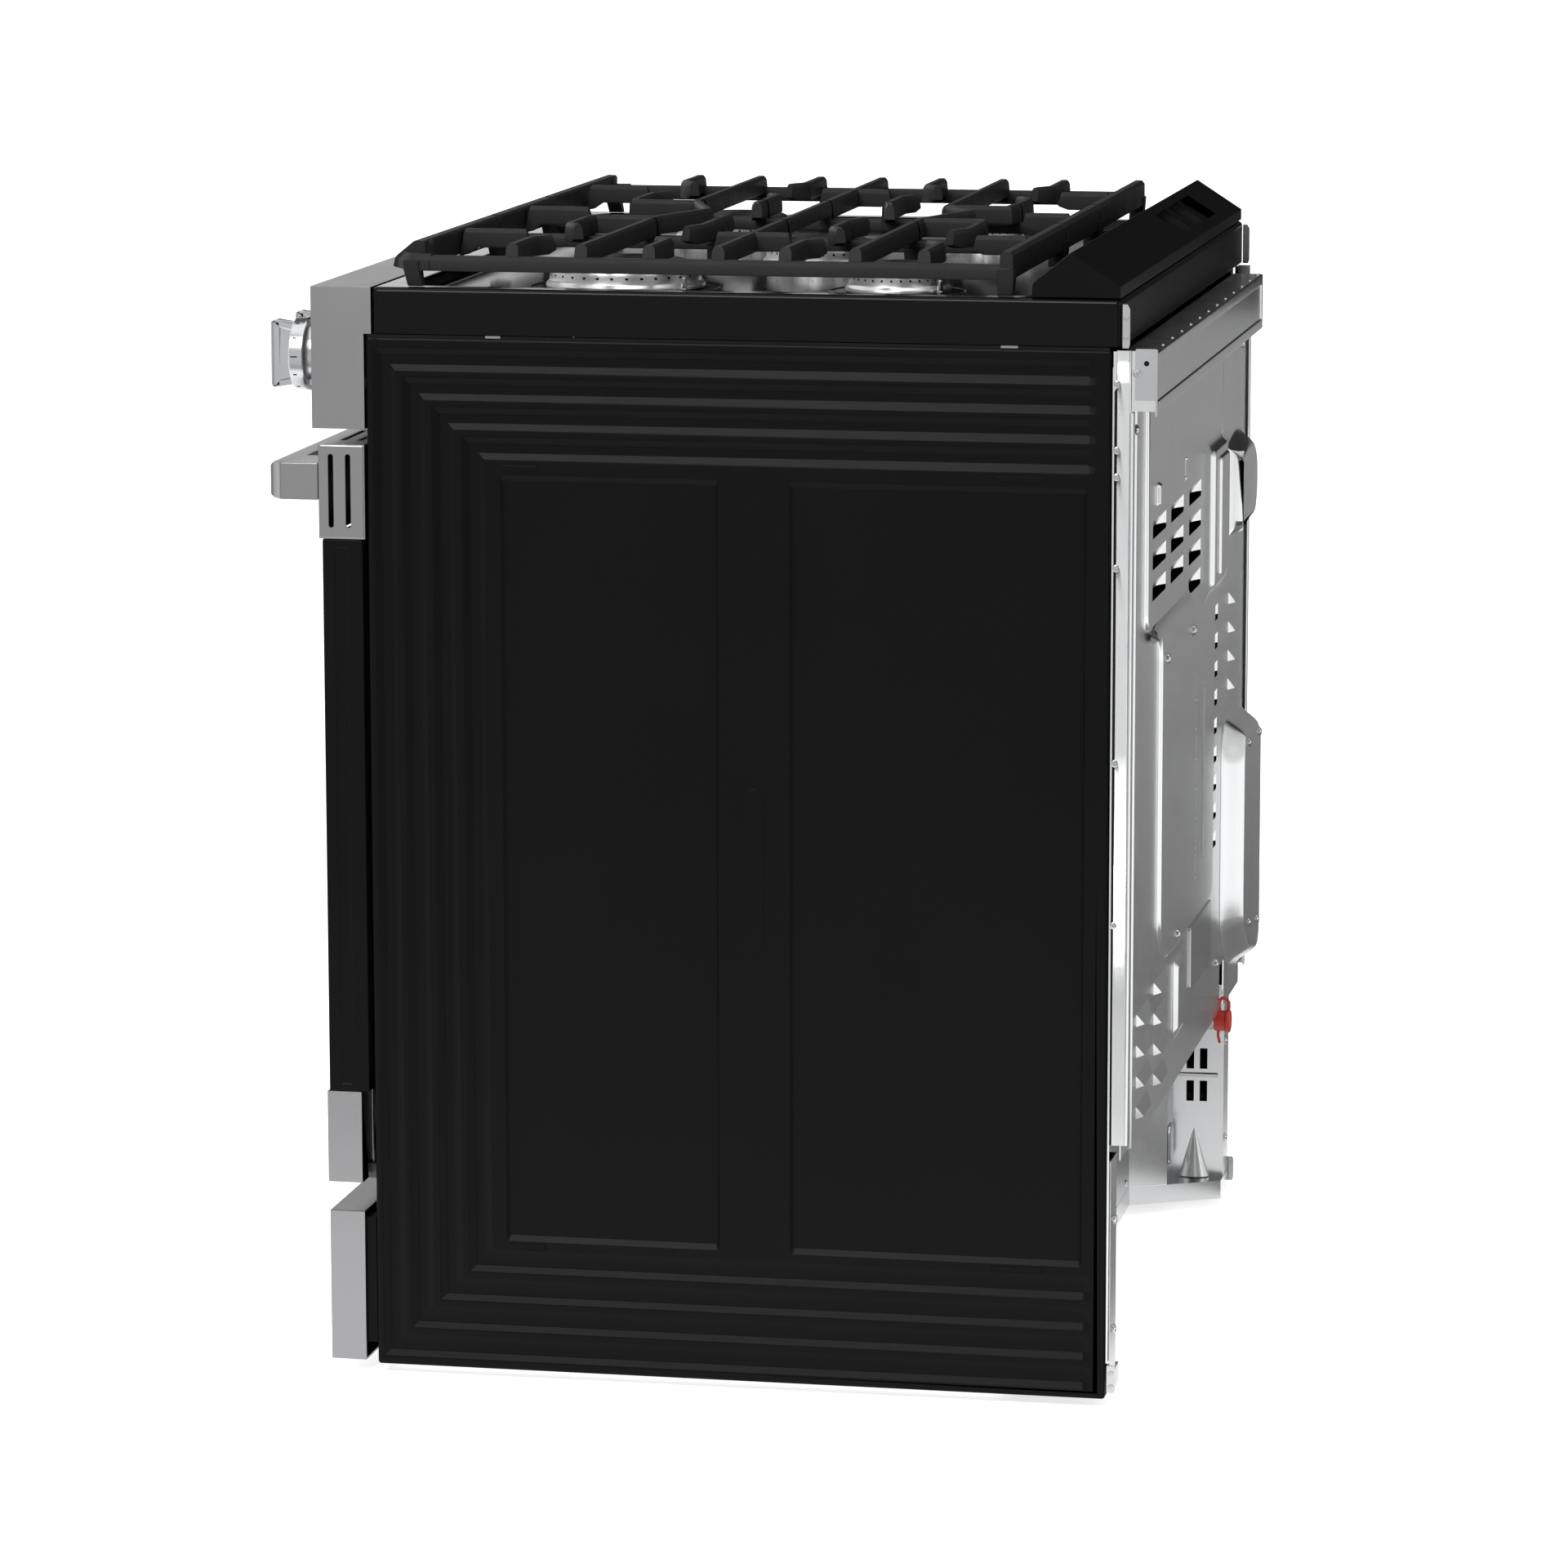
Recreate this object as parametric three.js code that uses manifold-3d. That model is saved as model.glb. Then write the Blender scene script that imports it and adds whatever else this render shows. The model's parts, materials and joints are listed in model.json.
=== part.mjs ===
// Freestanding gas range with front controls: chassis, cooktop, oven with drop-down door, storage drawer, cast-iron grates.
// Millimetres, +Z up; +X is the right side seen from the front, the door faces -Y. The numbers below are in the carcass frame,
// whose Y is zero near the middle of the side panels; the whole group is then moved by CENTRE_Y so that the origin is the middle of the footprint, on the floor.
import * as THREE from "three";
import { mergeVertices } from "three/addons/utils/BufferGeometryUtils.js";
import Module from "manifold-3d";

const wasm = await Module();
wasm.setup();

// ---------------------------------------------------------------- driving dimensions
const CENTRE_Y = 28.25; // carcass frame to footprint centre: half of (391.5 in front, 335 behind)
const HALF_W = 379.4; // half the overall width, 29 7/8 in
const PANEL = { y0: -301.5, y1: 299, z0: 8, z1: 852.5, t: 1.6, flange: 16 };
const COOKTOP = { x: 378.6, y0: -296.4, y1: 307, z0: 853.6, z1: 891, basin: 881, rim: 24, t: 1.6 };
const VENT = { x: 378, profile: [[235, 892], [236, 902.4], [265.9, 927], [302, 903.6], [305.5, 901.5], [305.6, 892]], t: 1.4 };
const CONTROL = { x: 378.4, y0: -346.5, y1: -303, yTop: -296.8, z0: 777, z1: 891, t: 1.6 };
const KNOB = { xs: [330, 255, 0, -255, -330], z: 832, front: -391.5, back: -349.6, skirt: 30, travel: 2.8 };
const DOOR = { x: 377, y0: -339.5, y1: -306, z0: 235.3, z1: 687.7, pivotY: -316, pivotZ: 163 };
const TOP_TRIM = { x: 378.5, y0: -342, y1: -303.5, z0: 688.1, z1: 764.5, t: 1.8 };
const LOW_TRIM = { x: 378, y0: -341.5, y1: -312.5, z0: 159, z1: 235, t: 1.8 };
const HANDLE = { x: 378, y0: -384, y1: -342.3, z0: 719, z1: 749, bar: 19, post: 52 };
const OVEN = { x: 298, y0: -299, y1: 228, z0: 256, z1: 668, t: 1.5 };
const DRAWER = { x: 378, y0: -340.5, y1: -311, z0: 10.5, z1: 135.5, boxX: 338, boxY1: 196, boxZ0: 32, boxZ1: 124 };
const GRATE = { x: 372, joint: 98, y0: -283, y1: 220, railTop: 916, railLow: 904, top: 926.5, foot: 891.3 };
const LEDGE = { x: 376, farX: 300, y0: 307.6, y1: 335, z0: 803, z1: 851, t: 1.2 };
const REAR = { y: 312, t: 1.2, z0: 205, z1: 801 };
const BURNERS = [
  { key: "right_front", x: 228, y: -122, r: 62, cap: 50 },
  { key: "right_rear", x: 228, y: 103, r: 40, cap: 34 },
  { key: "centre", x: 0, y: -4, r: 46, cap: 40 },
  { key: "left_front", x: -228, y: -122, r: 52, cap: 44 },
  { key: "left_rear", x: -228, y: 103, r: 34, cap: 28 },
];

// ---------------------------------------------------------------- solids
const stripped = (g) => {
  const n = g.index ? g.toNonIndexed() : g.clone();
  for (const k of Object.keys(n.attributes)) if (k !== "position") n.deleteAttribute(k);
  return mergeVertices(n, 1e-4);
};
const solid = (g) => {
  const m = stripped(g);
  return new wasm.Manifold(new wasm.Mesh({ numProp: 3, vertProperties: new Float32Array(m.attributes.position.array), triVerts: new Uint32Array(m.index.array) }));
};
const box = (x0, x1, y0, y1, z0, z1) => {
  const g = new THREE.BoxGeometry(x1 - x0, y1 - y0, z1 - z0);
  g.translate((x0 + x1) / 2, (y0 + y1) / 2, (z0 + z1) / 2);
  return solid(g);
};
const join = (list) => list.reduce((a, b) => a.add(b));
const cut = (a, list) => list.reduce((s, b) => s.subtract(b), a);
// Prism of a (y, z) outline between two x planes.
const prismX = (outline, x0, x1) => {
  const s = new THREE.Shape(outline.map(([y, z]) => new THREE.Vector2(y, z)));
  const g = new THREE.ExtrudeGeometry(s, { depth: x1 - x0, bevelEnabled: false, curveSegments: 8 });
  g.applyMatrix4(new THREE.Matrix4().set(0, 0, 1, x0, 1, 0, 0, 0, 0, 1, 0, 0, 0, 0, 0, 1));
  return solid(g);
};
// Prism of an (x, y) outline between two z planes.
const prismZ = (outline, z0, z1) => {
  const s = new THREE.Shape(outline.map(([x, y]) => new THREE.Vector2(x, y)));
  const g = new THREE.ExtrudeGeometry(s, { depth: z1 - z0, bevelEnabled: false });
  g.translate(0, 0, z0);
  return solid(g);
};
// Prism of an (x, z) outline between two y planes.
const prismY = (outline, y0, y1) => {
  const s = new THREE.Shape(outline.map(([x, z]) => new THREE.Vector2(x, z)));
  const g = new THREE.ExtrudeGeometry(s, { depth: y1 - y0, bevelEnabled: false, curveSegments: 6 });
  g.applyMatrix4(new THREE.Matrix4().set(1, 0, 0, 0, 0, 0, -1, y1, 0, 1, 0, 0, 0, 0, 0, 1));
  return solid(g);
};
const rodZ = (x, y, z0, z1, r, n = 16) => {
  const g = new THREE.CylinderGeometry(r, r, z1 - z0, n);
  g.rotateX(Math.PI / 2);
  g.translate(x, y, (z0 + z1) / 2);
  return solid(g);
};
const rodY = (x, z, y0, y1, r, n = 16) => {
  const g = new THREE.CylinderGeometry(r, r, y1 - y0, n);
  g.translate(x, (y0 + y1) / 2, z);
  return solid(g);
};
const rodX = (y, z, x0, x1, r, n = 16) => {
  const g = new THREE.CylinderGeometry(r, r, x1 - x0, n);
  g.rotateZ(Math.PI / 2);
  g.translate((x0 + x1) / 2, y, z);
  return solid(g);
};
// Flat-sided bar in plan from a to b, between two heights.
const bar = (a, b, w, z0, z1, over = 0) => {
  const dx = b[0] - a[0], dy = b[1] - a[1], l = Math.hypot(dx, dy);
  const ux = dx / l, uy = dy / l, h = w / 2;
  const p = [a[0] - ux * over, a[1] - uy * over], q = [b[0] + ux * over, b[1] + uy * over];
  return prismZ([[p[0] + uy * h, p[1] - ux * h], [q[0] + uy * h, q[1] - ux * h], [q[0] - uy * h, q[1] + ux * h], [p[0] - uy * h, p[1] + ux * h]], z0, z1);
};
const run = (pts, w, z0, z1) => join(pts.slice(1).map((p, i) => bar(pts[i], p, w, z0, z1, w * 0.3)));

const range = new THREE.Group();
const chassis = new THREE.Group(), cooking = new THREE.Group(), door = new THREE.Group(), drawer = new THREE.Group();
range.add(chassis, cooking, door, drawer);
const add = (group, name, s, look) => {
  const m = s.getMesh(), v = new Float32Array(m.numVert * 3);
  for (let i = 0; i < m.numVert; i++) v.set(m.vertProperties.subarray(i * m.numProp, i * m.numProp + 3), i * 3);
  const g = new THREE.BufferGeometry();
  g.setAttribute("position", new THREE.BufferAttribute(v, 3));
  g.setIndex(new THREE.BufferAttribute(new Uint32Array(m.triVerts), 1));
  g.computeVertexNormals();
  const mesh = new THREE.Mesh(g, new THREE.MeshStandardMaterial({ color: look[0], roughness: look[1], metalness: look[2], name: look[3] }));
  mesh.name = name;
  group.add(mesh);
};
const BLACK = [0x1b1b1c, 0.45, 0.0, "black_steel"], ENAMEL = [0x0b0b0c, 0.12, 0.0, "black_enamel"], IRON = [0x2b2b2b, 0.75, 0.1, "cast_iron"];
const STEEL = [0xa9abae, 0.32, 1.0, "stainless"], ZINC = [0xb9bcbf, 0.35, 1.0, "galvanised"], BRIGHT = [0xd4d6d9, 0.2, 1.0, "bright_metal"];
const GLASS = [0x101214, 0.05, 0.0, "oven_glass"], RED = [0xc03325, 0.45, 0.0, "red_plastic"], RUBBER = [0x222222, 0.8, 0.0, "gasket"];
const WIRE = [0xc4c6c8, 0.25, 1.0, "rack_wire"], BRASS = [0xb08d4a, 0.35, 1.0, "brass"], ALU = [0xc9cbcd, 0.3, 1.0, "burner_metal"], LINER = [0x23262b, 0.35, 0.0, "oven_enamel"];

// ---------------------------------------------------------------- side panels: pans with inward flanges
for (const s of [1, -1]) {
  const P = PANEL, xi = HALF_W - P.t, xf = HALF_W - P.flange;
  const side = (a, b, ...r) => (s > 0 ? box(a, b, ...r) : box(-b, -a, ...r));
  const pan = cut(side(xf, HALF_W, P.y0, P.y1, P.z0, P.z1), [side(xf - 1, xi, P.y0 + 1.8, P.y1 - 1.8, P.z0 + 1.8, P.z1 - 1.8)]);
  add(chassis, s > 0 ? "side_panel_right" : "side_panel_left", pan, BLACK);
}

// ---------------------------------------------------------------- base frame with leg bosses
{
  const ring = cut(box(-360, 360, -294, 212, 9, 28), [box(-332, 332, -262, 182, 8, 29)]);
  const bosses = [[305, -240], [-305, -240], [305, 160], [-305, 160]];
  const plates = bosses.map(([x, y]) => box(Math.min(x, Math.sign(x) * 340) - 16, Math.max(x, Math.sign(x) * 340) + 16, y - 22, y + 22, 18, 28));
  // Drawer runners stand on the side rails of the frame.
  const runners = [[341, 343, 27, 84], [341, 352, 60, 62], [341, 352, 82, 84]].flatMap(([a, b, z0, z1]) => [box(a, b, -290, 205, z0, z1), box(-b, -a, -290, 205, z0, z1)]);
  add(chassis, "base_frame", cut(join([ring, ...plates, ...runners]), bosses.map(([x, y]) => rodZ(x, y, 5, 40, 5.4, 12))), ZINC);
  bosses.forEach(([x, y], i) => {
    const name = "levelling_leg_" + ["right_front", "left_front", "right_rear", "left_rear"][i];
    add(chassis, name, join([rodZ(x, y, 0, 7, 15, 12), rodZ(x, y, 6, 15, 8, 6), rodZ(x, y, 14, 27, 4.6, 12)]), BLACK);
  });
}

// ---------------------------------------------------------------- oven cavity with front frame and rack ledges
{
  const O = OVEN, x = O.x + O.t;
  const shell = box(-x, x, -301, O.y1 + O.t, O.z0 - O.t, O.z1 + O.t);
  const face = box(-360.5, 360.5, -301, -299.4, 150, 774);
  const ledges = [];
  for (const z of [330, 400, 470, 540]) for (const s of [1, -1]) ledges.push(s > 0 ? box(O.x - 7, O.x + 0.5, -286, 216, z, z + 3) : box(-O.x - 0.5, -O.x + 7, -286, 216, z, z + 3));
  // Receivers and pins that carry the door hinges.
  const receivers = [1, -1].flatMap((s) => {
    const B = (a, b, ...r) => (s > 0 ? box(a, b, ...r) : box(-b, -a, ...r));
    return [s > 0 ? rodX(DOOR.pivotY, DOOR.pivotZ, 337.4, 350, 3.6, 16) : rodX(DOOR.pivotY, DOOR.pivotZ, -350, -337.4, 3.6, 16), B(345, 350, -320, -300, 157, 169), B(345, 350, -304, -300, 152, 175)];
  });
  add(chassis, "oven_cavity", join([...receivers, cut(join([shell, face]), [box(-O.x, O.x, -310, O.y1, O.z0, O.z1)]), ...ledges]), LINER);
  add(chassis, "oven_floor", cut(box(-290, 290, -284, 214, O.z0 + 26, O.z0 + 28.5), [box(-262, -250, -240, 180, O.z0 + 20, O.z0 + 35), box(250, 262, -240, 180, O.z0 + 20, O.z0 + 35)]).add(box(-270, 270, -284, -282, O.z0 + 0.3, O.z0 + 27)).add(box(-270, -20, 212, 214, O.z0 + 0.3, O.z0 + 27)).add(box(20, 270, 212, 214, O.z0 + 0.3, O.z0 + 27)), LINER);
  add(chassis, "bake_burner", join([box(-9, 9, -200, 226, O.z0 + 6, O.z0 + 16), box(-170, 170, -9, 9, O.z0 + 6, O.z0 + 16)]), ALU);
  add(chassis, "broil_burner", join([box(-120, 120, -205, 150, O.z1 - 30, O.z1 - 18), box(-8, 8, 140, 226, O.z1 - 30, O.z1 - 18), box(-110, -106, -100, -96, O.z1 - 19, O.z1 - 0.3), box(106, 110, -100, -96, O.z1 - 19, O.z1 - 0.3)]), ALU);
}

// ---------------------------------------------------------------- oven racks
[[404, "oven_rack_upper"], [334, "oven_rack_lower"]].forEach(([z, name]) => {
  const wires = [];
  for (const x of [-286, 286]) wires.push(box(x - 3, x + 3, -272, 206, z + 0.6, z + 6.6));
  for (const y of [-269, 203]) wires.push(box(-286, 286, y - 3, y + 3, z + 0.6, z + 6.6));
  for (const y of [-110, 50]) wires.push(box(-286, 286, y - 2.2, y + 2.2, z + 0.8, z + 5.4));
  for (let i = 0; i < 13; i++) wires.push(box(-242 + i * 40, -238 + i * 40, -269, 203, z + 5, z + 9.4));
  add(cooking, name, join(wires), WIRE);
});

// ---------------------------------------------------------------- cooktop and vent cap
{
  const C = COOKTOP, e = C.rim, h = 1.6;
  const outer = prismX([[C.y0, C.z0], [C.y1, C.z0], [C.y1, C.z1 - 2], [C.y1 - 2, C.z1], [C.y0 + 2.5, C.z1], [C.y0, C.z1 - 2.5]], -C.x, C.x);
  const tub = (x, y0, y1, x2, y02, y12, z, z2) => {
    const g = new THREE.BufferGeometry();
    const v = [[-x, y0, z], [x, y0, z], [x, y1, z], [-x, y1, z], [-x2, y02, z2], [x2, y02, z2], [x2, y12, z2], [-x2, y12, z2]];
    const f = [[0, 2, 1], [0, 3, 2], [4, 5, 6], [4, 6, 7], [0, 1, 5], [0, 5, 4], [1, 2, 6], [1, 6, 5], [2, 3, 7], [2, 7, 6], [3, 0, 4], [3, 4, 7]];
    g.setAttribute("position", new THREE.Float32BufferAttribute(f.flat().flatMap((i) => v[i]), 3));
    return solid(g);
  };
  const basin = tub(C.x - e - 10, C.y0 + e + 10, 218, C.x - e + 1, C.y0 + e - 1, 229, C.basin, C.z1 + 1);
  const under = box(-C.x + h, C.x - h, C.y0 + h, C.y1 - h, C.z0 - 1, C.basin - h);
  add(chassis, "cooktop", cut(outer, [basin, under]), ENAMEL);
  const V = VENT, t = V.t;
  const inner = [[236.4, 890], [237.4, 901.8], [266, 925.2], [301, 902.6], [304.1, 901], [304.2, 890]];
  const slots = [[-267, -198], [-192, -122], [-115, -50]].map(([a, b]) => box(a, b, 272, 297, 895, 930));
  add(chassis, "vent_cap", cut(prismX(V.profile, -V.x, V.x), [prismX(inner, -V.x + t, V.x - t), ...slots]), BLACK);
}

// ---------------------------------------------------------------- burners: ported ring on the cooktop, loose cap on the ring
BURNERS.forEach((b) => {
  const z = COOKTOP.basin + 0.3;
  const ring = [[0, 0], [b.r + 3, 0], [b.r + 3, 4], [b.r, 6], [b.r - 1, 15], [b.r - 3, 16], [0, 16]].map(([r, h]) => new THREE.Vector2(r, h));
  const cap = [[0, 0], [b.cap - 1, 0], [b.cap, 1.5], [b.cap - 1, 5], [b.cap - 5, 6.5], [0, 7]].map(([r, h]) => new THREE.Vector2(r, h));
  const turn = (p, z0) => {
    const g = new THREE.LatheGeometry(p, 26);
    g.rotateX(Math.PI / 2);
    g.translate(b.x, b.y, z0);
    return solid(g);
  };
  add(cooking, "burner_base_" + b.key, turn(ring, z), ALU);
  add(cooking, "burner_cap_" + b.key, turn(cap, z + 16.3), IRON);
});

// ---------------------------------------------------------------- grates
const G = GRATE;
// A finger: raised bar with a web down to the rail at its root.
const finger = (pts, z0 = 911) => run(pts, 8, z0, G.top);
const leg = (x, y, w = 12, z1 = 912) => box(x - w / 2, x + w / 2, y - 6.5, y + 6.5, G.foot, z1);
const FY = [-184, -128, -73, -17, 37, 93, 148];
for (const s of [1, -1]) {
  const X = (x) => s * x, m = [];
  const outer = G.x - 6, inner = G.joint + 8;
  m.push(run([[X(outer), G.y0 + 8], [X(outer), G.y1 - 6]], 12, G.railLow, G.railTop)); // outer rail
  m.push(run([[X(inner), G.y0 + 14], [X(inner), G.y1 - 6]], 9, G.railLow - 3, 911)); // low rail beside the joint
  m.push(bar([X(G.joint + 3), G.y0 + 12], [X(outer - 14), G.y0 + 12], 20, G.railLow + 4, G.railTop)); // front rail
  m.push(bar([X(G.joint + 3), G.y0 + 20], [X(outer - 24), G.y0 + 20], 9, G.railTop - 1, G.top));
  m.push(run([[X(outer - 30), G.y0 + 12], [X(outer), G.y0 + 42]], 16, G.railLow, G.railTop)); // corner gusset
  m.push(run([[X(outer - 30), G.y0 + 20], [X(outer - 16), G.y0 + 16]], 9, G.railTop - 2, G.top - 5));
  m.push(bar([X(G.joint + 3), G.y1 - 6], [X(outer + 4), G.y1 - 6], 11, G.railLow, G.top)); // back rail
  m.push(finger([[X(outer), FY[0]], [X(300), FY[0]], [X(278), FY[0] + 14]]));
  m.push(finger([[X(outer), FY[1]], [X(G.joint + 4), FY[1]]]));
  m.push(finger([[X(outer), FY[2]], [X(290), FY[2]], [X(274), FY[2] - 14]]));
  m.push(finger([[X(outer), FY[3]], [X(G.joint + 4), FY[3]]]));
  m.push(finger([[X(outer), FY[4]], [X(290), FY[4]], [X(271), FY[4] + 14]]));
  m.push(finger([[X(outer), FY[5]], [X(G.joint + 4), FY[5]]]));
  m.push(finger([[X(outer), FY[6]], [X(290), FY[6]], [X(269), FY[6] - 14]]));
  m.push(finger([[X(231), G.y0 + 20], [X(231), -200]]));
  m.push(finger([[X(228), -49], [X(228), 17]]));
  m.push(finger([[X(226), 163], [X(226), G.y1 - 6]]));
  for (const y of [FY[0], FY[2], FY[4], FY[6]]) m.push(finger([[X(G.joint + 4), y], [X(180), y]]));
  for (const y of [...FY]) m.push(bar([X(inner), y - 6], [X(inner), y + 6], 9, 905, 918)); // webs up from the low rail
  for (const [x, y] of [[outer, -270], [outer, 213], [inner, -262], [inner, 213]]) m.push(leg(X(x), y));
  add(cooking, s > 0 ? "grate_right" : "grate_left", join(m), IRON);
}
{
  const m = [], e = G.joint - 8, j = G.joint - 3;
  for (const s of [1, -1]) {
    m.push(run([[s * e, G.y0 + 14], [s * e, G.y1 - 6]], 9, G.railLow - 3, 911));
    for (const y of FY) m.push(bar([s * e, y - 6], [s * e, y + 6], 9, 905, 918));
    for (const y of [-262, 213]) m.push(leg(s * e, y));
    m.push(finger([[s * (G.joint - 4), FY[1]], [s * 82, FY[1]], [s * 82, -181], [s * (G.joint - 4), -184]]));
    m.push(finger([[s * (G.joint - 4), FY[5]], [s * 67, FY[5]], [s * 67, 145], [s * (G.joint - 4), 148]]));
    m.push(finger([[s * (G.joint - 4), FY[2]], [s * 56, -71]]));
    m.push(finger([[s * (G.joint - 4), FY[4]], [s * 56, 44]]));
  }
  m.push(bar([-j, G.y0 + 12], [j, G.y0 + 12], 20, G.railLow + 4, G.railTop));
  m.push(bar([-j, G.y0 + 20], [j, G.y0 + 20], 9, G.railTop - 1, G.top));
  m.push(bar([-j, G.y1 - 6], [j, G.y1 - 6], 11, G.railLow, G.top));
  m.push(finger([[-(G.joint - 4), FY[3]], [G.joint - 4, FY[3]]], 914));
  m.push(finger([[3, G.y0 + 20], [3, -200]]));
  m.push(finger([[-82, -128], [0, -100], [82, -128]]));
  m.push(finger([[-67, 93], [-20, 120], [67, 93]]));
  add(cooking, "grate_centre", join(m), IRON);
}

// ---------------------------------------------------------------- control panel, valve stems, knobs, gas manifold
{
  const C = CONTROL;
  const outer = join([box(-C.x, C.x, C.y0, C.y1, C.z0, C.z1), box(-C.x, C.x, C.y1 - 1, C.yTop, PANEL.z1 + 1.1, C.z1)]);
  const hollow = join([box(-C.x + C.t, C.x - C.t, C.y0 + C.t, C.y1 + 1, C.z0 + C.t, C.z1 - C.t), box(-C.x + C.t, C.x - C.t, C.y1 - 3, C.yTop + 1, PANEL.z1 + 1, C.z1 - C.t)]);
  add(chassis, "control_panel", cut(outer, [hollow, ...KNOB.xs.map((x) => rodY(x, KNOB.z, C.y0 - 2, C.y0 + 3, 6.5, 16))]), STEEL);
  add(chassis, "gas_manifold", join([rodX(-318, KNOB.z - 22, -345, 345, 7, 8), ...KNOB.xs.map((x) => join([box(x - 11, x + 11, -329, -307.5, KNOB.z - 27, KNOB.z + 12)])), rodX(-312, KNOB.z - 22, -352, -330, 6, 8)]), BRASS);
  KNOB.xs.forEach((x, i) => {
    add(chassis, "valve_stem_" + (i + 1), rodY(x, KNOB.z, -366, -332.4, 4, 12), BRIGHT);
    const K = KNOB, r = K.skirt;
    const skirt = [[0, 0], [r - 0.5, 0], [r, 1], [r - 2.2, 13], [r - 4.5, 15], [r - 9, 15.5], [0, 15.5]].map(([a, h]) => new THREE.Vector2(a, h));
    const g = new THREE.LatheGeometry(skirt, 28);
    g.rotateX(Math.PI); // profile grows toward -Y
    g.translate(x, K.back, K.z);
    const blade = prismX([[K.back - 3, K.z - 27.5], [K.back - 3, K.z + 27.5], [K.front + 3, K.z + 28.5], [K.front, K.z + 26], [K.front, K.z - 26], [K.front + 3, K.z - 28.5]], x - 9, x + 9);
    add(cooking, "knob_" + (i + 1), cut(join([solid(g), blade]), [rodY(x, K.z, -367, K.back + 1, 4.4, 12)]), BRIGHT);
  });
}

// ---------------------------------------------------------------- door
{
  const D = DOOR;
  const ring = cut(box(-D.x, D.x, D.y0, D.y1, D.z0, D.z1), [box(-D.x + 1.8, D.x - 1.8, D.y0 + 1.6, D.y1 + 1, D.z0 + 1.8, D.z1 - 1.8), box(-D.x + 12, D.x - 12, D.y0 - 1, D.y0 + 3, D.z0 + 12, D.z1 - 12)]);
  add(door, "door_frame", ring, BLACK);
  add(door, "door_glass_outer", box(-D.x + 2.2, D.x - 2.2, D.y0 + 2, D.y0 + 6, D.z0 + 2.2, D.z1 - 2.2), GLASS);
  add(door, "door_glass_inner", box(-250, 250, -316.4, -312.4, 322, 606), GLASS);
  add(door, "door_inner_panel", cut(join([box(-D.x + 2.2, D.x - 2.2, -312, -310, D.z0 + 2.2, D.z1 - 2.2), box(-296, 296, -311, -304.6, 258, 666)]), [box(-240, 240, -320, -300, 332, 596), box(-294, 294, -310, -300, 260, 664)].slice(0, 1)), LINER);
  add(door, "door_gasket", cut(box(-318, 318, -309.6, -302.2, 240, 684), [box(-306, 306, -320, -300, 252, 672)]), RUBBER);
  const T = TOP_TRIM, slots = [];
  for (const s of [1, -1]) for (const y of [-331.5, -317.3]) slots.push(s > 0 ? box(T.x - 4, T.x + 2, y - 2, y + 2, 697.5, 756.5) : box(-T.x - 2, -T.x + 4, y - 2, y + 2, 697.5, 756.5));
  for (let i = -4; i < 4; i++) for (const y of [-329, -315]) slots.push(box(i * 90 + 10, i * 90 + 80, y - 2.2, y + 2.2, T.z1 - 5, T.z1 + 2));
  add(door, "door_top_trim", cut(box(-T.x, T.x, T.y0, T.y1, T.z0, T.z1), [box(-T.x + T.t, T.x - T.t, T.y0 + T.t, T.y1 - T.t, T.z0 - 1, T.z1 - T.t), ...slots]), STEEL);
  const L = LOW_TRIM;
  add(door, "door_bottom_trim", cut(box(-L.x, L.x, L.y0, L.y1, L.z0, L.z1), [box(-L.x + L.t, L.x - L.t, L.y0 + L.t, L.y1 + 1, L.z0 + L.t, L.z1 + 1), box(333, 358, -325, -311, 158, 162), box(-358, -333, -325, -311, 158, 162)]), STEEL);
  const H = HANDLE;
  const plan = (s) => [[s * (H.x - H.post), H.y0 + 3], [s * (H.x - 8), H.y0 + 3], [s * H.x, H.y0 + 10], [s * H.x, H.y1], [s * (H.x - H.post), H.y1]];
  const flip = (p) => p.slice().reverse();
  add(door, "door_handle", join([prismX([[H.y0, H.z0 + 3], [H.y0 + 3, H.z0], [H.y0 + H.bar, H.z0], [H.y0 + H.bar, H.z1], [H.y0 + 3, H.z1], [H.y0, H.z1 - 3]], -H.x + 8, H.x - 8), prismZ(plan(1), H.z0, H.z1), prismZ(flip(plan(-1)), H.z0, H.z1)]), STEEL);
  for (const s of [1, -1]) {
    const side = s > 0 ? "right" : "left", B = (a, b, ...r) => (s > 0 ? box(a, b, ...r) : box(-b, -a, ...r)), R = (y, z, a, b, r, n) => (s > 0 ? rodX(y, z, a, b, r, n) : rodX(y, z, -b, -a, r, n));
    add(door, "hinge_arm_" + side, cut(join([B(338, 343, -321, -312.6, 163, 233), R(D.pivotY, D.pivotZ, 338, 343, 7, 16)]), [R(D.pivotY, D.pivotZ, 337, 344, 4.4, 16)]), ZINC);
  }
}

// ---------------------------------------------------------------- drawer
{
  const D = DRAWER;
  add(drawer, "drawer_front", cut(box(-D.x, D.x, D.y0, D.y1, D.z0, D.z1), [box(-D.x + 1.8, D.x - 1.8, D.y0 + 1.8, D.y1 + 1, D.z0 + 1.8, D.z1 - 1.8)]), STEEL);
  const tub = cut(box(-D.boxX, D.boxX, -312, D.boxY1, D.boxZ0, D.boxZ1), [box(-D.boxX + 1.5, D.boxX - 1.5, -303, D.boxY1 - 1.5, D.boxZ0 + 1.5, D.boxZ1 + 1)]);
  const face = cut(box(-374, 374, -320, -302.5, 25, 130), [box(-372, 372, -321, -304.3, 27, 128)]);
  add(drawer, "drawer_box", join([tub, face]), BLACK);
}

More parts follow.
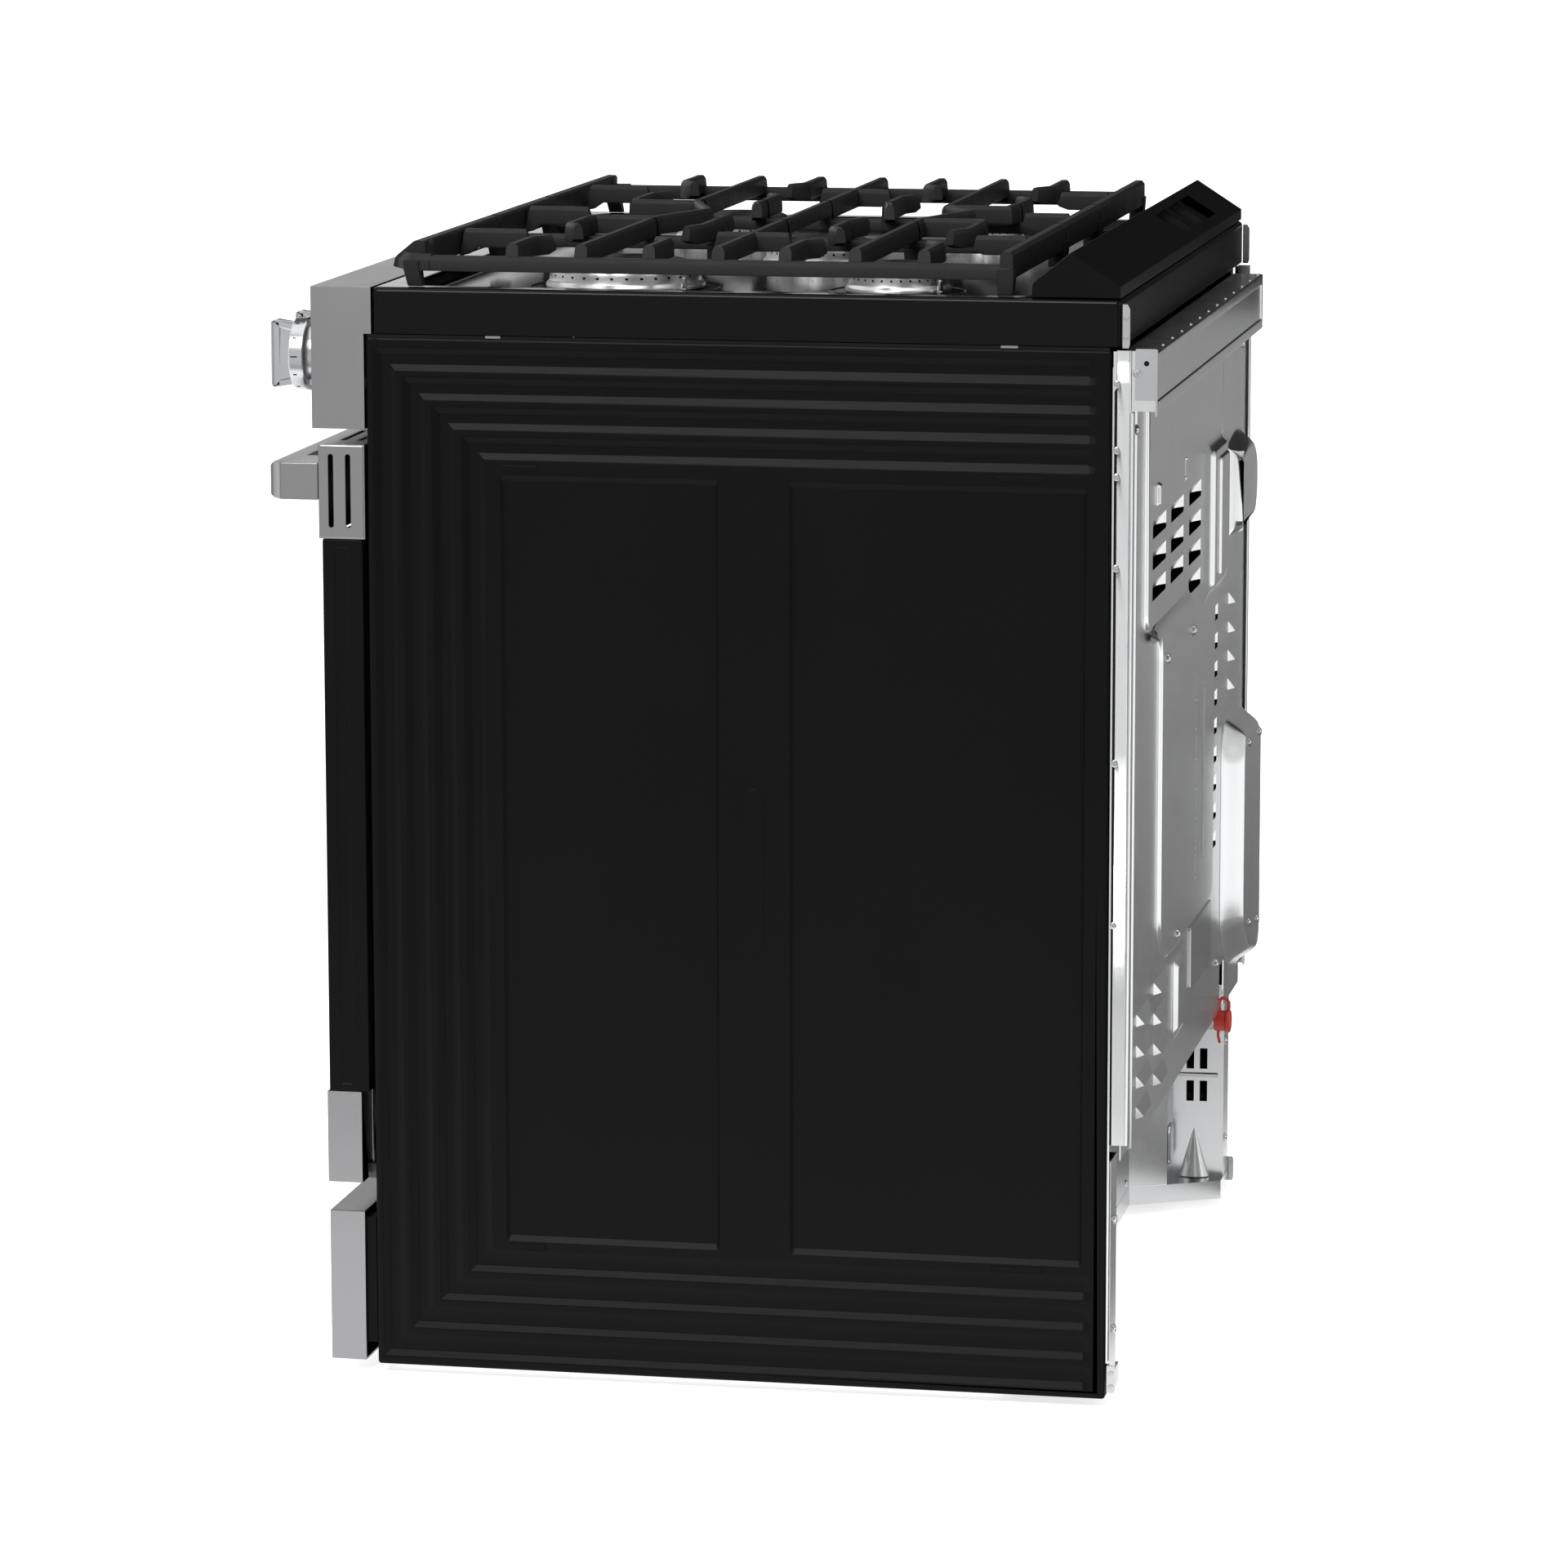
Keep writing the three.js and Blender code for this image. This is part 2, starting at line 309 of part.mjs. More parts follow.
// ---------------------------------------------------------------- rear: posts, cover, ledge, recessed lower wall
for (const s of [1, -1]) {
  const B = (a, b, ...r) => (s > 0 ? box(a, b, ...r) : box(-b, -a, ...r));
  add(chassis, "rear_post_" + (s > 0 ? "right" : "left"), join([B(377.1, 378.6, 300.2, 316.4, 217, 851.8), B(366, 378.6, 314.9, 316.4, 217, 802.4)]), ZINC);
}
{
  const R = REAR, y1 = R.y + R.t;
  const plate = cut(box(-376, 376, R.y, y1, R.z0, R.z1), [box(-245, -215, R.y - 1, y1 + 1, R.z0 - 1, 246), box(-377, -350, R.y - 1, y1 + 1, R.z0 - 1, 222)]);
  // A raised field: outline in (x, z), height h above the cover, sides sloped by an inner offset.
  const raised = (pts, h) => prismY(pts, y1 - 0.6, y1 + h);
  const plateau = raised([[186, 330], [186, 598], [168, 609], [-128, 609], [-140, 600], [-140, 330], [-128, 315], [170, 315]], 5);
  const rib = raised([[-146, 598], [-170, 598], [-170, 724], [-146, 724]], 5);
  const dome1 = raised([[-240, 630], [-250, 624], [-336, 624], [-346, 634], [-346, 702], [-336, 711], [-250, 711], [-240, 704]], 12);
  const dome2 = raised([[-252, 250], [-300, 226], [-356, 230], [-364, 245], [-364, 445], [-352, 470], [-262, 470], [-250, 455]], 18);
  const vents = [];
  for (const [x0, z] of [[175, 687.8], [175, 662.6], [175, 637.4], [67, 687.8], [67, 662.6], [67, 637.4], [-43, 687.8], [-43, 662.6], [-43, 637.4], [-43, 612.5]]) vents.push(box(x0, x0 + 78, R.y - 1, y1 + 1, z, z + 7));
  for (let i = 0; i < 9; i++) vents.push(box(-205, -165, R.y - 1, y1 + 1, 356 + i * 25, 363 + i * 25));
  add(chassis, "rear_cover", cut(join([plate, plateau, rib, dome1, dome2]), vents), ZINC);
  const L = LEDGE;
  // The ledge stops short of the far edge of the cover.
  const shell = cut(box(-L.farX, L.x, L.y0, L.y1, L.z0, L.z1), [box(-L.farX + L.t, L.x - L.t, L.y0 + L.t, L.y1 - L.t, L.z0 - 1, L.z1 - L.t)]);
  add(chassis, "rear_ledge", cut(shell, [box(374, 380, 300, 317, 800, 852)]), ZINC);
}
{
  // Recess for the gas and power connections: back wall, angled cheeks and a bottom rail, open below and behind.
  const t = 1.5, z1 = 203;
  // A folded sheet: the plan line offset to both sides with mitred corners.
  const wall = (pts, z0, z, w) => {
    const side = (h) => pts.map((p, i) => {
      const u = (a, b) => { const l = Math.hypot(b[0] - a[0], b[1] - a[1]); return [(b[0] - a[0]) / l, (b[1] - a[1]) / l]; };
      const a = i ? u(pts[i - 1], p) : u(p, pts[i + 1]), b = i < pts.length - 1 ? u(p, pts[i + 1]) : a;
      const n = [-(a[1] + b[1]), a[0] + b[0]], k = h / (1 + a[0] * b[0] + a[1] * b[1]);
      return [p[0] + n[0] * k, p[1] + n[1] * k];
    });
    return prismZ([...side(-w / 2), ...side(w / 2).reverse()], z0, z);
  };
  const up = [[-374, 301.5], [-342, 301.5], [-340, 256], [-301, 256], [-283, 224], [283, 224], [301, 256], [340, 256], [342, 301.5], [374, 301.5]];
  const low = [[-374, 301.5], [-325, 301.5], [-283, 224], [283, 224], [325, 301.5], [374, 301.5]];
  const slots = [];
  for (const s of [1, -1]) for (const y of [272, 284]) for (const z of [95, 125]) slots.push(s > 0 ? box(336, 346, y - 3.4, y + 3.4, z, z + 19) : box(-346, -336, y - 3.4, y + 3.4, z, z + 19));
  const shelf = join([-1, 1].map((s) => prismZ(s < 0 ? [[-342, 301.3], [-325.2, 301.3], [-301, 256.3], [-340, 256.3]] : [[340, 256.3], [301, 256.3], [325.2, 301.3], [342, 301.3]], 24.6, 25.3)));
  const cord = rodY(250, 120, 220, 228, 11, 16);
  add(chassis, "rear_recess_wall", cut(join([wall(up, 24, z1, t), wall(low, 9, 25.6, t + 0.7), shelf, box(-281, 281, 214.5, 224.1, 199.5, 201.2)]), [...slots, cord]), ZINC);
  add(chassis, "power_inlet_bushing", cut(join([rodY(250, 120, 221, 228, 10.5, 16), rodY(250, 120, 225.3, 229, 13.5, 16)]), [rodY(250, 120, 210, 240, 6, 12)]), RUBBER);
  add(chassis, "gas_inlet_pipe", join([rodZ(-232, 300, 193, 262, 4.6, 10), box(-239, -225, 293, 307, 186, 200), rodY(-232, 193, 296, 310, 6, 12), rodY(-232, 258, 240, 304, 4.6, 10), box(-252, -212, 232, 262, 236, 280)]), BRASS);
  add(chassis, "gas_inlet_cap", cut(join([rodY(-232, 193, 307.4, 322, 9.4, 16), rodY(-232, 193, 318, 321, 10.4, 16), box(-234, -230, 310, 314, 200, 213), box(-234, -230, 310, 321, 211, 214)]), [rodY(-232, 193, 300, 318, 6.5, 16)]), RED);
}

range.position.y = CENTRE_Y;

export default range;
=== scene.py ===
import json
import math

import bmesh
import bpy
from mathutils import Matrix, Vector
from mathutils.geometry import tessellate_polygon

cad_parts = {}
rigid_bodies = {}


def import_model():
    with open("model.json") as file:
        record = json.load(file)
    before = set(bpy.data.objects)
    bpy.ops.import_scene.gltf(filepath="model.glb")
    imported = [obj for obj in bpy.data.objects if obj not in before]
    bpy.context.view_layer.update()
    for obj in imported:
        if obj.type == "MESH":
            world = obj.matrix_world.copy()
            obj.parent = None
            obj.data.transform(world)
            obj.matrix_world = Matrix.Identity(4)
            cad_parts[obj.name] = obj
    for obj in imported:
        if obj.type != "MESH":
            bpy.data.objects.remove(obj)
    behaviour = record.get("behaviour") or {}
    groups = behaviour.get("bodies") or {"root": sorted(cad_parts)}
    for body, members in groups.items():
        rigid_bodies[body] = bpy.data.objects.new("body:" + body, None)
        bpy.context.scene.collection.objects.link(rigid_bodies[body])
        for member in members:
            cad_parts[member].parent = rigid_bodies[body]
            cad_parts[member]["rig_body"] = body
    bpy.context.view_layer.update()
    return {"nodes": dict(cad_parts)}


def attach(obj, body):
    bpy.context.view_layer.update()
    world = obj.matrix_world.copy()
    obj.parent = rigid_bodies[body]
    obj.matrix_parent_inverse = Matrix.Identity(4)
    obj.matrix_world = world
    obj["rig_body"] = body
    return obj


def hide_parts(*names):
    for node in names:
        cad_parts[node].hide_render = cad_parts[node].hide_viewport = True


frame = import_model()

DY = 28.25  # carcass frame to the row frame, mm along Y
scene = bpy.context.scene


# ------------------------------------------------------------------ materials
def material(name, base, rough, metal=0.0, spec=0.5, coat=0.0, vary=0.1, vary_scale=30.0, bump=0.1, bump_scale=400.0,
             stretch=(1, 1, 1), rough_vary=0.08, sheen=0.0, transmission=0.0, mottling=None, second=None, dist=0.0002):
    """Procedural finish: large soft variation and fine grain drive colour, roughness and relief, all in object coordinates (metres)."""
    m = bpy.data.materials.new(name)
    m.use_nodes = True
    nt = m.node_tree
    nt.nodes.clear()
    out = nt.nodes.new("ShaderNodeOutputMaterial")
    b = nt.nodes.new("ShaderNodeBsdfPrincipled")
    nt.links.new(b.outputs[0], out.inputs[0])
    tc = nt.nodes.new("ShaderNodeTexCoord")
    mp = nt.nodes.new("ShaderNodeMapping")
    mp.inputs["Scale"].default_value = stretch
    nt.links.new(tc.outputs["Object"], mp.inputs["Vector"])
    big = nt.nodes.new("ShaderNodeTexNoise")
    big.inputs["Scale"].default_value = vary_scale
    big.inputs["Detail"].default_value = 4
    nt.links.new(tc.outputs["Object"], big.inputs["Vector"])
    fine = nt.nodes.new("ShaderNodeTexNoise")
    fine.inputs["Scale"].default_value = bump_scale
    fine.inputs["Detail"].default_value = 3
    nt.links.new(mp.outputs[0], fine.inputs["Vector"])
    add = nt.nodes.new("ShaderNodeMath")
    add.operation = "ADD"
    nt.links.new(big.outputs["Fac"], add.inputs[0])
    nt.links.new(fine.outputs["Fac"], add.inputs[1])
    half = nt.nodes.new("ShaderNodeMath")
    half.operation = "MULTIPLY"
    half.inputs[1].default_value = 0.5
    nt.links.new(add.outputs[0], half.inputs[0])
    ramp = nt.nodes.new("ShaderNodeValToRGB")
    ramp.color_ramp.elements[0].position = 0.3
    ramp.color_ramp.elements[1].position = 0.7
    lo = [max(0.0, c * (1 - vary)) for c in base]
    hi = [min(1.0, c * (1 + vary)) for c in base]
    if second:
        hi = list(second)
    ramp.color_ramp.elements[0].color = (*lo, 1)
    ramp.color_ramp.elements[1].color = (*hi, 1)
    nt.links.new(half.outputs[0], ramp.inputs[0])
    nt.links.new(ramp.outputs[0], b.inputs["Base Color"])
    rr = nt.nodes.new("ShaderNodeMapRange")
    rr.inputs["From Min"].default_value = 0.3
    rr.inputs["From Max"].default_value = 0.7
    rr.inputs["To Min"].default_value = max(0.02, rough - rough_vary)
    rr.inputs["To Max"].default_value = min(1.0, rough + rough_vary)
    nt.links.new(half.outputs[0], rr.inputs["Value"])
    nt.links.new(rr.outputs[0], b.inputs["Roughness"])
    bp = nt.nodes.new("ShaderNodeBump")
    bp.inputs["Strength"].default_value = bump
    bp.inputs["Distance"].default_value = dist
    nt.links.new(fine.outputs["Fac"], bp.inputs["Height"])
    nt.links.new(bp.outputs[0], b.inputs["Normal"])
    b.inputs["Metallic"].default_value = metal
    b.inputs["Specular IOR Level"].default_value = spec
    b.inputs["Coat Weight"].default_value = coat
    b.inputs["Coat Roughness"].default_value = 0.08
    b.inputs["Transmission Weight"].default_value = transmission
    m["slot"] = name
    return m


M_BLACK = material("black_steel", (0.0026, 0.0026, 0.0028), 0.40, spec=0.062, vary=0.14, vary_scale=9, bump=0.04, bump_scale=900, rough_vary=0.03)
M_ENAMEL = material("black_enamel", (0.003, 0.003, 0.0032), 0.13, spec=0.08, coat=0.0, vary=0.15, vary_scale=14, bump=0.02, bump_scale=260, rough_vary=0.03)
M_OVEN = material("oven_enamel", (0.02, 0.024, 0.032), 0.35, spec=0.5, coat=0.2, vary=0.1, vary_scale=40, bump=0.2, bump_scale=1500, second=(0.05, 0.056, 0.066))
M_STEEL = material("stainless", (0.235, 0.236, 0.24), 0.34, metal=1.0, vary=0.05, vary_scale=8, bump=0.1, bump_scale=260, stretch=(0.05, 6, 9), rough_vary=0.05)
M_ZINC = material("galvanised", (0.58, 0.585, 0.59), 0.24, metal=1.0, vary=0.035, vary_scale=45, bump=0.006, bump_scale=420, rough_vary=0.03)
M_BRIGHT = material("bright_metal", (0.42, 0.424, 0.43), 0.24, metal=1.0, vary=0.04, vary_scale=30, bump=0.08, bump_scale=600, rough_vary=0.05)
M_IRON = material("cast_iron", (0.007, 0.007, 0.0073), 0.6, spec=0.22, vary=0.25, vary_scale=60, bump=0.55, bump_scale=1400, rough_vary=0.1, dist=0.0003)
M_GLASS = material("oven_glass", (0.004, 0.0045, 0.005), 0.06, spec=0.6, coat=0.5, vary=0.1, vary_scale=5, bump=0.01, bump_scale=60, rough_vary=0.02)
M_RED = material("red_plastic", (0.52, 0.035, 0.022), 0.42, spec=0.45, vary=0.12, vary_scale=90, bump=0.2, bump_scale=1300)
M_RUBBER = material("gasket", (0.02, 0.02, 0.02), 0.85, spec=0.2, vary=0.2, vary_scale=200, bump=0.5, bump_scale=2400)
M_WIRE = material("rack_wire", (0.62, 0.63, 0.64), 0.2, metal=1.0, vary=0.05, vary_scale=60, bump=0.05, bump_scale=700)
M_BRASS = material("brass", (0.55, 0.38, 0.16), 0.3, metal=1.0, vary=0.12, vary_scale=80, bump=0.1, bump_scale=800)
M_ALU = material("burner_metal", (0.66, 0.66, 0.66), 0.33, metal=1.0, vary=0.06, vary_scale=80, bump=0.25, bump_scale=1800)
# near-black: painted shade in gaps, holes, the vent slots and burner ports, and the real printed border round the door
# window
M_SHADE_AND_PRINT = material("shadow_gap", (0.004, 0.004, 0.004), 0.7, spec=0.1, vary=0.2, vary_scale=60, bump=0.1, bump_scale=700)
M_MARK = material("dial_mark", (0.01, 0.01, 0.01), 0.5, spec=0.3, vary=0.2, vary_scale=300, bump=0.05, bump_scale=900)
SLOT_MATS = {m["slot"]: m for m in (M_BLACK, M_ENAMEL, M_OVEN, M_STEEL, M_ZINC, M_BRIGHT, M_IRON, M_GLASS, M_RED, M_RUBBER, M_WIRE, M_BRASS, M_ALU)}


# ------------------------------------------------------------------ mesh code, in carcass millimetres
class Mesh:
    def __init__(self):
        self.v, self.f, self.m = [], [], []

    def add(self, verts, faces, mat=0):
        o = len(self.v)
        self.v += [tuple(map(float, p)) for p in verts]
        self.f += [tuple(i + o for i in f) for f in faces]
        self.m += [mat] * len(faces)

    def loft(self, loops, closed=True, cap0=False, cap1=False, mat=0):
        n = len(loops[0])
        verts = [p for l in loops for p in l]
        faces = []
        for k in range(len(loops) - 1):
            for i in range(n if closed else n - 1):
                j = (i + 1) % n
                faces.append((k * n + i, k * n + j, (k + 1) * n + j, (k + 1) * n + i))
        if cap0:
            faces.append(tuple(reversed(range(n))))
        if cap1:
            faces.append(tuple((len(loops) - 1) * n + i for i in range(n)))
        self.add(verts, faces, mat)


def finish_mesh(name, M, mats, body, replaces=(), weld=0.02, sharp=33.0, recalc=True, bevel=None, bevel_angle=28, smooth=True):
    me = bpy.data.meshes.new(name)
    me.from_pydata([(x / 1000, (y + DY) / 1000, z / 1000) for x, y, z in M.v], [], M.f)
    mats = mats if isinstance(mats, (list, tuple)) else [mats]
    for m in mats:
        me.materials.append(m)
    for p, k in zip(me.polygons, M.m):
        p.material_index = k
    return finish_object(name, me, body, replaces, weld, sharp, recalc, bevel, bevel_angle, smooth)


def finish_object(name, me, body, replaces, weld, sharp, recalc, bevel, bevel_angle, smooth=True):
    bm = bmesh.new()
    bm.from_mesh(me)
    bmesh.ops.remove_doubles(bm, verts=bm.verts, dist=weld / 1000)
    bmesh.ops.dissolve_degenerate(bm, dist=0.000002, edges=bm.edges)
    if recalc:
        bmesh.ops.recalc_face_normals(bm, faces=bm.faces)
    if bevel:
        bmesh.ops.dissolve_limit(bm, angle_limit=math.radians(1.0), verts=bm.verts, edges=bm.edges)
        cut = [e for e in bm.edges if len(e.link_faces) == 2 and e.calc_face_angle(0) > math.radians(bevel_angle)]
        bmesh.ops.bevel(bm, geom=cut, offset=bevel / 1000, offset_type="OFFSET", segments=2, profile=0.6, affect="EDGES", clamp_overlap=True)
    for f in bm.faces:
        f.smooth = smooth
    for e in bm.edges:
        e.smooth = not (len(e.link_faces) == 2 and e.calc_face_angle(0) > math.radians(sharp))
    bm.to_mesh(me)
    bm.free()
    me.update()
    o = bpy.data.objects.new(name, me)
    scene.collection.objects.link(o)
    if smooth:
        # large flats keep their own normal beside narrow folds
        w = o.modifiers.new("flats", "WEIGHTED_NORMAL")
        w.mode = "FACE_AREA"
        w.keep_sharp = True
    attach(o, body)
    if replaces:
        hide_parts(*replaces)
    return o


def body_of_node(n):
    return frame["nodes"][n]["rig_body"]


def detail(node, mat, bevel=0.6, sharp=40, angle=28, extra=None):
    """A CAD solid rebuilt with merged faces and rounded edges."""
    src = frame["nodes"][node].data
    me = src.copy()
    me.name = node + "_skin"
    me.materials.clear()
    me.materials.append(mat)
    for p in me.polygons:
        p.material_index = 0
    for a in [a.name for a in me.attributes if a.name == "custom_normal"]:
        me.attributes.remove(me.attributes[a])
    return finish_object(node + "_skin", me, body_of_node(node), (node,), 0.02, sharp, True, bevel, angle)


def rrect(u0, u1, v0, v1, r, n=4):
    r = max(0.05, min(r, (u1 - u0) / 2 - 0.01, (v1 - v0) / 2 - 0.01))
    pts = []
    for cu, cv, a0 in ((u1 - r, v1 - r, 0), (u0 + r, v1 - r, 90), (u0 + r, v0 + r, 180), (u1 - r, v0 + r, 270)):
        for k in range(n + 1):
            a = math.radians(a0 + 90 * k / n)
            pts.append((cu + r * math.cos(a), cv + r * math.sin(a)))
    return pts


def inset(pts, d):
    """Moves a counter-clockwise outline inwards by d with mitred corners."""
    n, out = len(pts), []
    for i in range(n):
        p, a, b = pts[i], pts[i - 1], pts[(i + 1) % n]
        e1 = Vector((p[0] - a[0], p[1] - a[1])).normalized()
        e2 = Vector((b[0] - p[0], b[1] - p[1])).normalized()
        n1, n2 = Vector((-e1.y, e1.x)), Vector((-e2.y, e2.x))
        k = d / max(0.35, 1 + n1.dot(n2))
        out.append((p[0] + (n1.x + n2.x) * k, p[1] + (n1.y + n2.y) * k))
    return out


def round_poly(pts, r, n=4):
    """Rounds the corners of a counter-clockwise outline."""
    out, N = [], len(pts)
    for i in range(N):
        p, a, b = Vector(pts[i]), Vector(pts[i - 1]), Vector(pts[(i + 1) % N])
        rr = min(r[i] if isinstance(r, (list, tuple)) else r, (p - a).length * 0.45, (b - p).length * 0.45)
        s, e = p + (a - p).normalized() * rr, p + (b - p).normalized() * rr
        for k in range(n + 1):
            t = k / n
            q = s * (1 - t) ** 2 + p * 2 * t * (1 - t) + e * t * t
            out.append((q.x, q.y))
    return out


class Sheet:
    """Stamped sheet metal: flat regions with holes, embossed outlines, louvres. f3 maps (u, v, height) to a point."""

    def __init__(self, M, f3, mat=0):
        self.M, self.f3, self.mat = M, f3, mat

    def flat(self, outline, holes=(), h=0.0):
        rings = [[Vector((u, v, 0)) for u, v in outline]] + [[Vector((u, v, 0)) for u, v in ho] for ho in holes]
        tris = tessellate_polygon(rings)
        pts = [p for r in rings for p in r]
        self.M.add([self.f3(p.x, p.y, h) for p in pts], [t for t in tris], self.mat)

    def emboss(self, outline, h0, h1, w, holes=(), cap=True, n=5, fn=None):
        loops, last = [], None
        for k in range(n + 1):
            t = k / n
            s = t * t * (3 - 2 * t)
            last = fn(w * t) if fn else inset(outline, w * t)
            loops.append([self.f3(u, v, h0 + (h1 - h0) * s) for u, v in last])
        self.M.loft(loops, mat=self.mat)
        if cap:
            self.flat(last, holes, h1)
        return last

    def recess_box(self, u0, u1, v0, v1, r, h0, h1, w, holes=(), cap=True, n=5):
        fn = lambda d: rrect(u0 + d, u1 - d, v0 + d, v1 - d, max(r - d * 0.6, 0.4))
        self.emboss(None, h0, h1, w, holes, cap, n, fn)
        return rrect(u0, u1, v0, v1, r)

    def louvre(self, u0, u1, v0, v1, h0, depth, out=False, e=16.0, g=4.0):
        """Lanced flap between v1 (its fold) and v0 (its open edge). Inward when out is False."""
        f, s = self.f3, (1 if out else -1)
        o = [(u0, v0), (u1, v0), (u1, v1), (u0, v1)]
        vb = v0 + (0.4 if out else g)
        D = h0 + s * depth
        rows = []
        for k in range(5):
            t = k / 4
            v = v1 + (vb - v1) * t
            hd = h0 + s * depth * (t ** 0.9)
            rows.append([f(u0, v, h0), f(u0 + e * t * 0.5, v, h0 + (hd - h0) * 0.55), f(u0 + e * t, v, hd), f(u1 - e * t, v, hd), f(u1 - e * t * 0.5, v, h0 + (hd - h0) * 0.55), f(u1, v, h0)])
        self.M.loft(rows, closed=False, mat=self.mat)
        lip = 0.9
        last = rows[-1]
        self.M.loft([last, [f(u0, vb, h0 - lip), f(u0 + e * 0.5, vb, h0 + (D - h0) * 0.55 - lip), f(u0 + e, vb, D - lip), f(u1 - e, vb, D - lip), f(u1 - e * 0.5, vb, h0 + (D - h0) * 0.55 - lip), f(u1, vb, h0 - lip)]], closed=False, mat=self.mat)
        return o


def lathe(M, profile, centre, axis="z", n=48, mat=0, caps=True):
    """profile: (radius, along) pairs. Along grows in the axis direction."""
    loops = []
    for r, a in profile:
        loop = []
        for k in range(n):
            t = 2 * math.pi * k / n
            c, s = r * math.cos(t), r * math.sin(t)
            if axis == "z":
                loop.append((centre[0] + c, centre[1] + s, centre[2] + a))
            elif axis == "y":
                loop.append((centre[0] + c, centre[1] + a, centre[2] - s))
            else:
                loop.append((centre[0] + a, centre[1] + c, centre[2] + s))
        loops.append(loop)
    M.loft(loops, cap0=caps, cap1=caps, mat=mat)


def sweep(M, pts, section, mat=0, ends=(0.0, 0.0)):
    """Sweeps a closed section, (offset to the left, height) pairs, along a plan path. A section may be a function of the point's index. ends slant the two end faces."""
    n = len(pts)
    loops = []
    for i, p in enumerate(pts):
        a = Vector(pts[i - 1][:2]) if i else None
        b = Vector(pts[i + 1][:2]) if i < n - 1 else None
        q = Vector(p[:2])
        d1 = (q - a).normalized() if a is not None else (b - q).normalized()
        d2 = (b - q).normalized() if b is not None else d1
        n1, n2 = Vector((-d1.y, d1.x)), Vector((-d2.y, d2.x))
        k = 1 / max(0.4, 1 + n1.dot(n2))
        nn = (n1 + n2) * k
        sec = section(i) if callable(section) else section
        zmin, zmax = min(z for _, z in sec), max(z for _, z in sec)
        loop = []
        for off, z in sec:
            t = (z - zmin) / max(1e-6, zmax - zmin)
            slide = 0.0
            if i == 0:
                slide = ends[0] * t
            if i == n - 1:
                slide = -ends[1] * t
            dd = d2 if i == 0 else d1
            loop.append((q.x + nn.x * off + dd.x * slide, q.y + nn.y * off + dd.y * slide, z))
        loops.append(loop)
    M.loft(loops, cap0=True, cap1=True, mat=mat)


def prism(M, poly, axis, a0, a1, mat=0):
    """Closed outline pushed along an axis: x takes (y, z), y takes (x, z), z takes (x, y)."""
    def pt(p, a):
        return {"x": (a, p[0], p[1]), "y": (p[0], a, p[1]), "z": (p[0], p[1], a)}[axis]
    M.loft([[pt(p, a0) for p in poly], [pt(p, a1) for p in poly]], cap0=True, cap1=True, mat=mat)


def block(M, x0, x1, y0, y1, z0, z1, c=0.6, mat=0):
    """Box with its four long edges chamfered along Z and soft top and bottom edges."""
    def ring(d, z):
        return [(x, y, z) for x, y in rrect(x0 + d, x1 - d, y0 + d, y1 - d, c, 2)]
    M.loft([ring(c * 0.7, z0), ring(0, z0 + c * 0.7), ring(0, z1 - c * 0.7), ring(c * 0.7, z1)], cap0=True, cap1=True, mat=mat)


def tube(M, pts, r, n=10, mat=0, closed=False):
    """Round wire along 3-D points."""
    P = [Vector(p) for p in pts]
    N = len(P)
    loops, up = [], None
    for i in range(N):
        d = (P[min(i + 1, N - 1)] - P[max(i - 1, 0)]).normalized()
        if up is None:
            up = Vector((0, 0, 1)) if abs(d.z) < 0.9 else Vector((1, 0, 0))
        side = d.cross(up).normalized()
        up = side.cross(d).normalized()
        loops.append([tuple(P[i] + side * (r * math.cos(2 * math.pi * k / n)) + up * (r * math.sin(2 * math.pi * k / n))) for k in range(n)])
    M.loft(loops, cap0=not closed, cap1=not closed, mat=mat)


def screw(M, pos, axis, sign, r=3.6, h=2.0, mat=0, flange=False):
    """Pan-head or hex-washer screw standing on a face. axis is the face's normal."""
    base = list(pos)
    prof = [(r * 1.25, 0), (r * 1.25, 0.5), (r, 0.6)] if flange else [(r, 0)]
    prof += [(r, h * 0.45), (r * 0.86, h * 0.82), (r * 0.5, h), (r * 0.32, h), (r * 0.22, h * 0.55), (0.05, h * 0.5)]
    lathe(M, [(a, b * sign) for a, b in prof], base, axis, 16, mat)


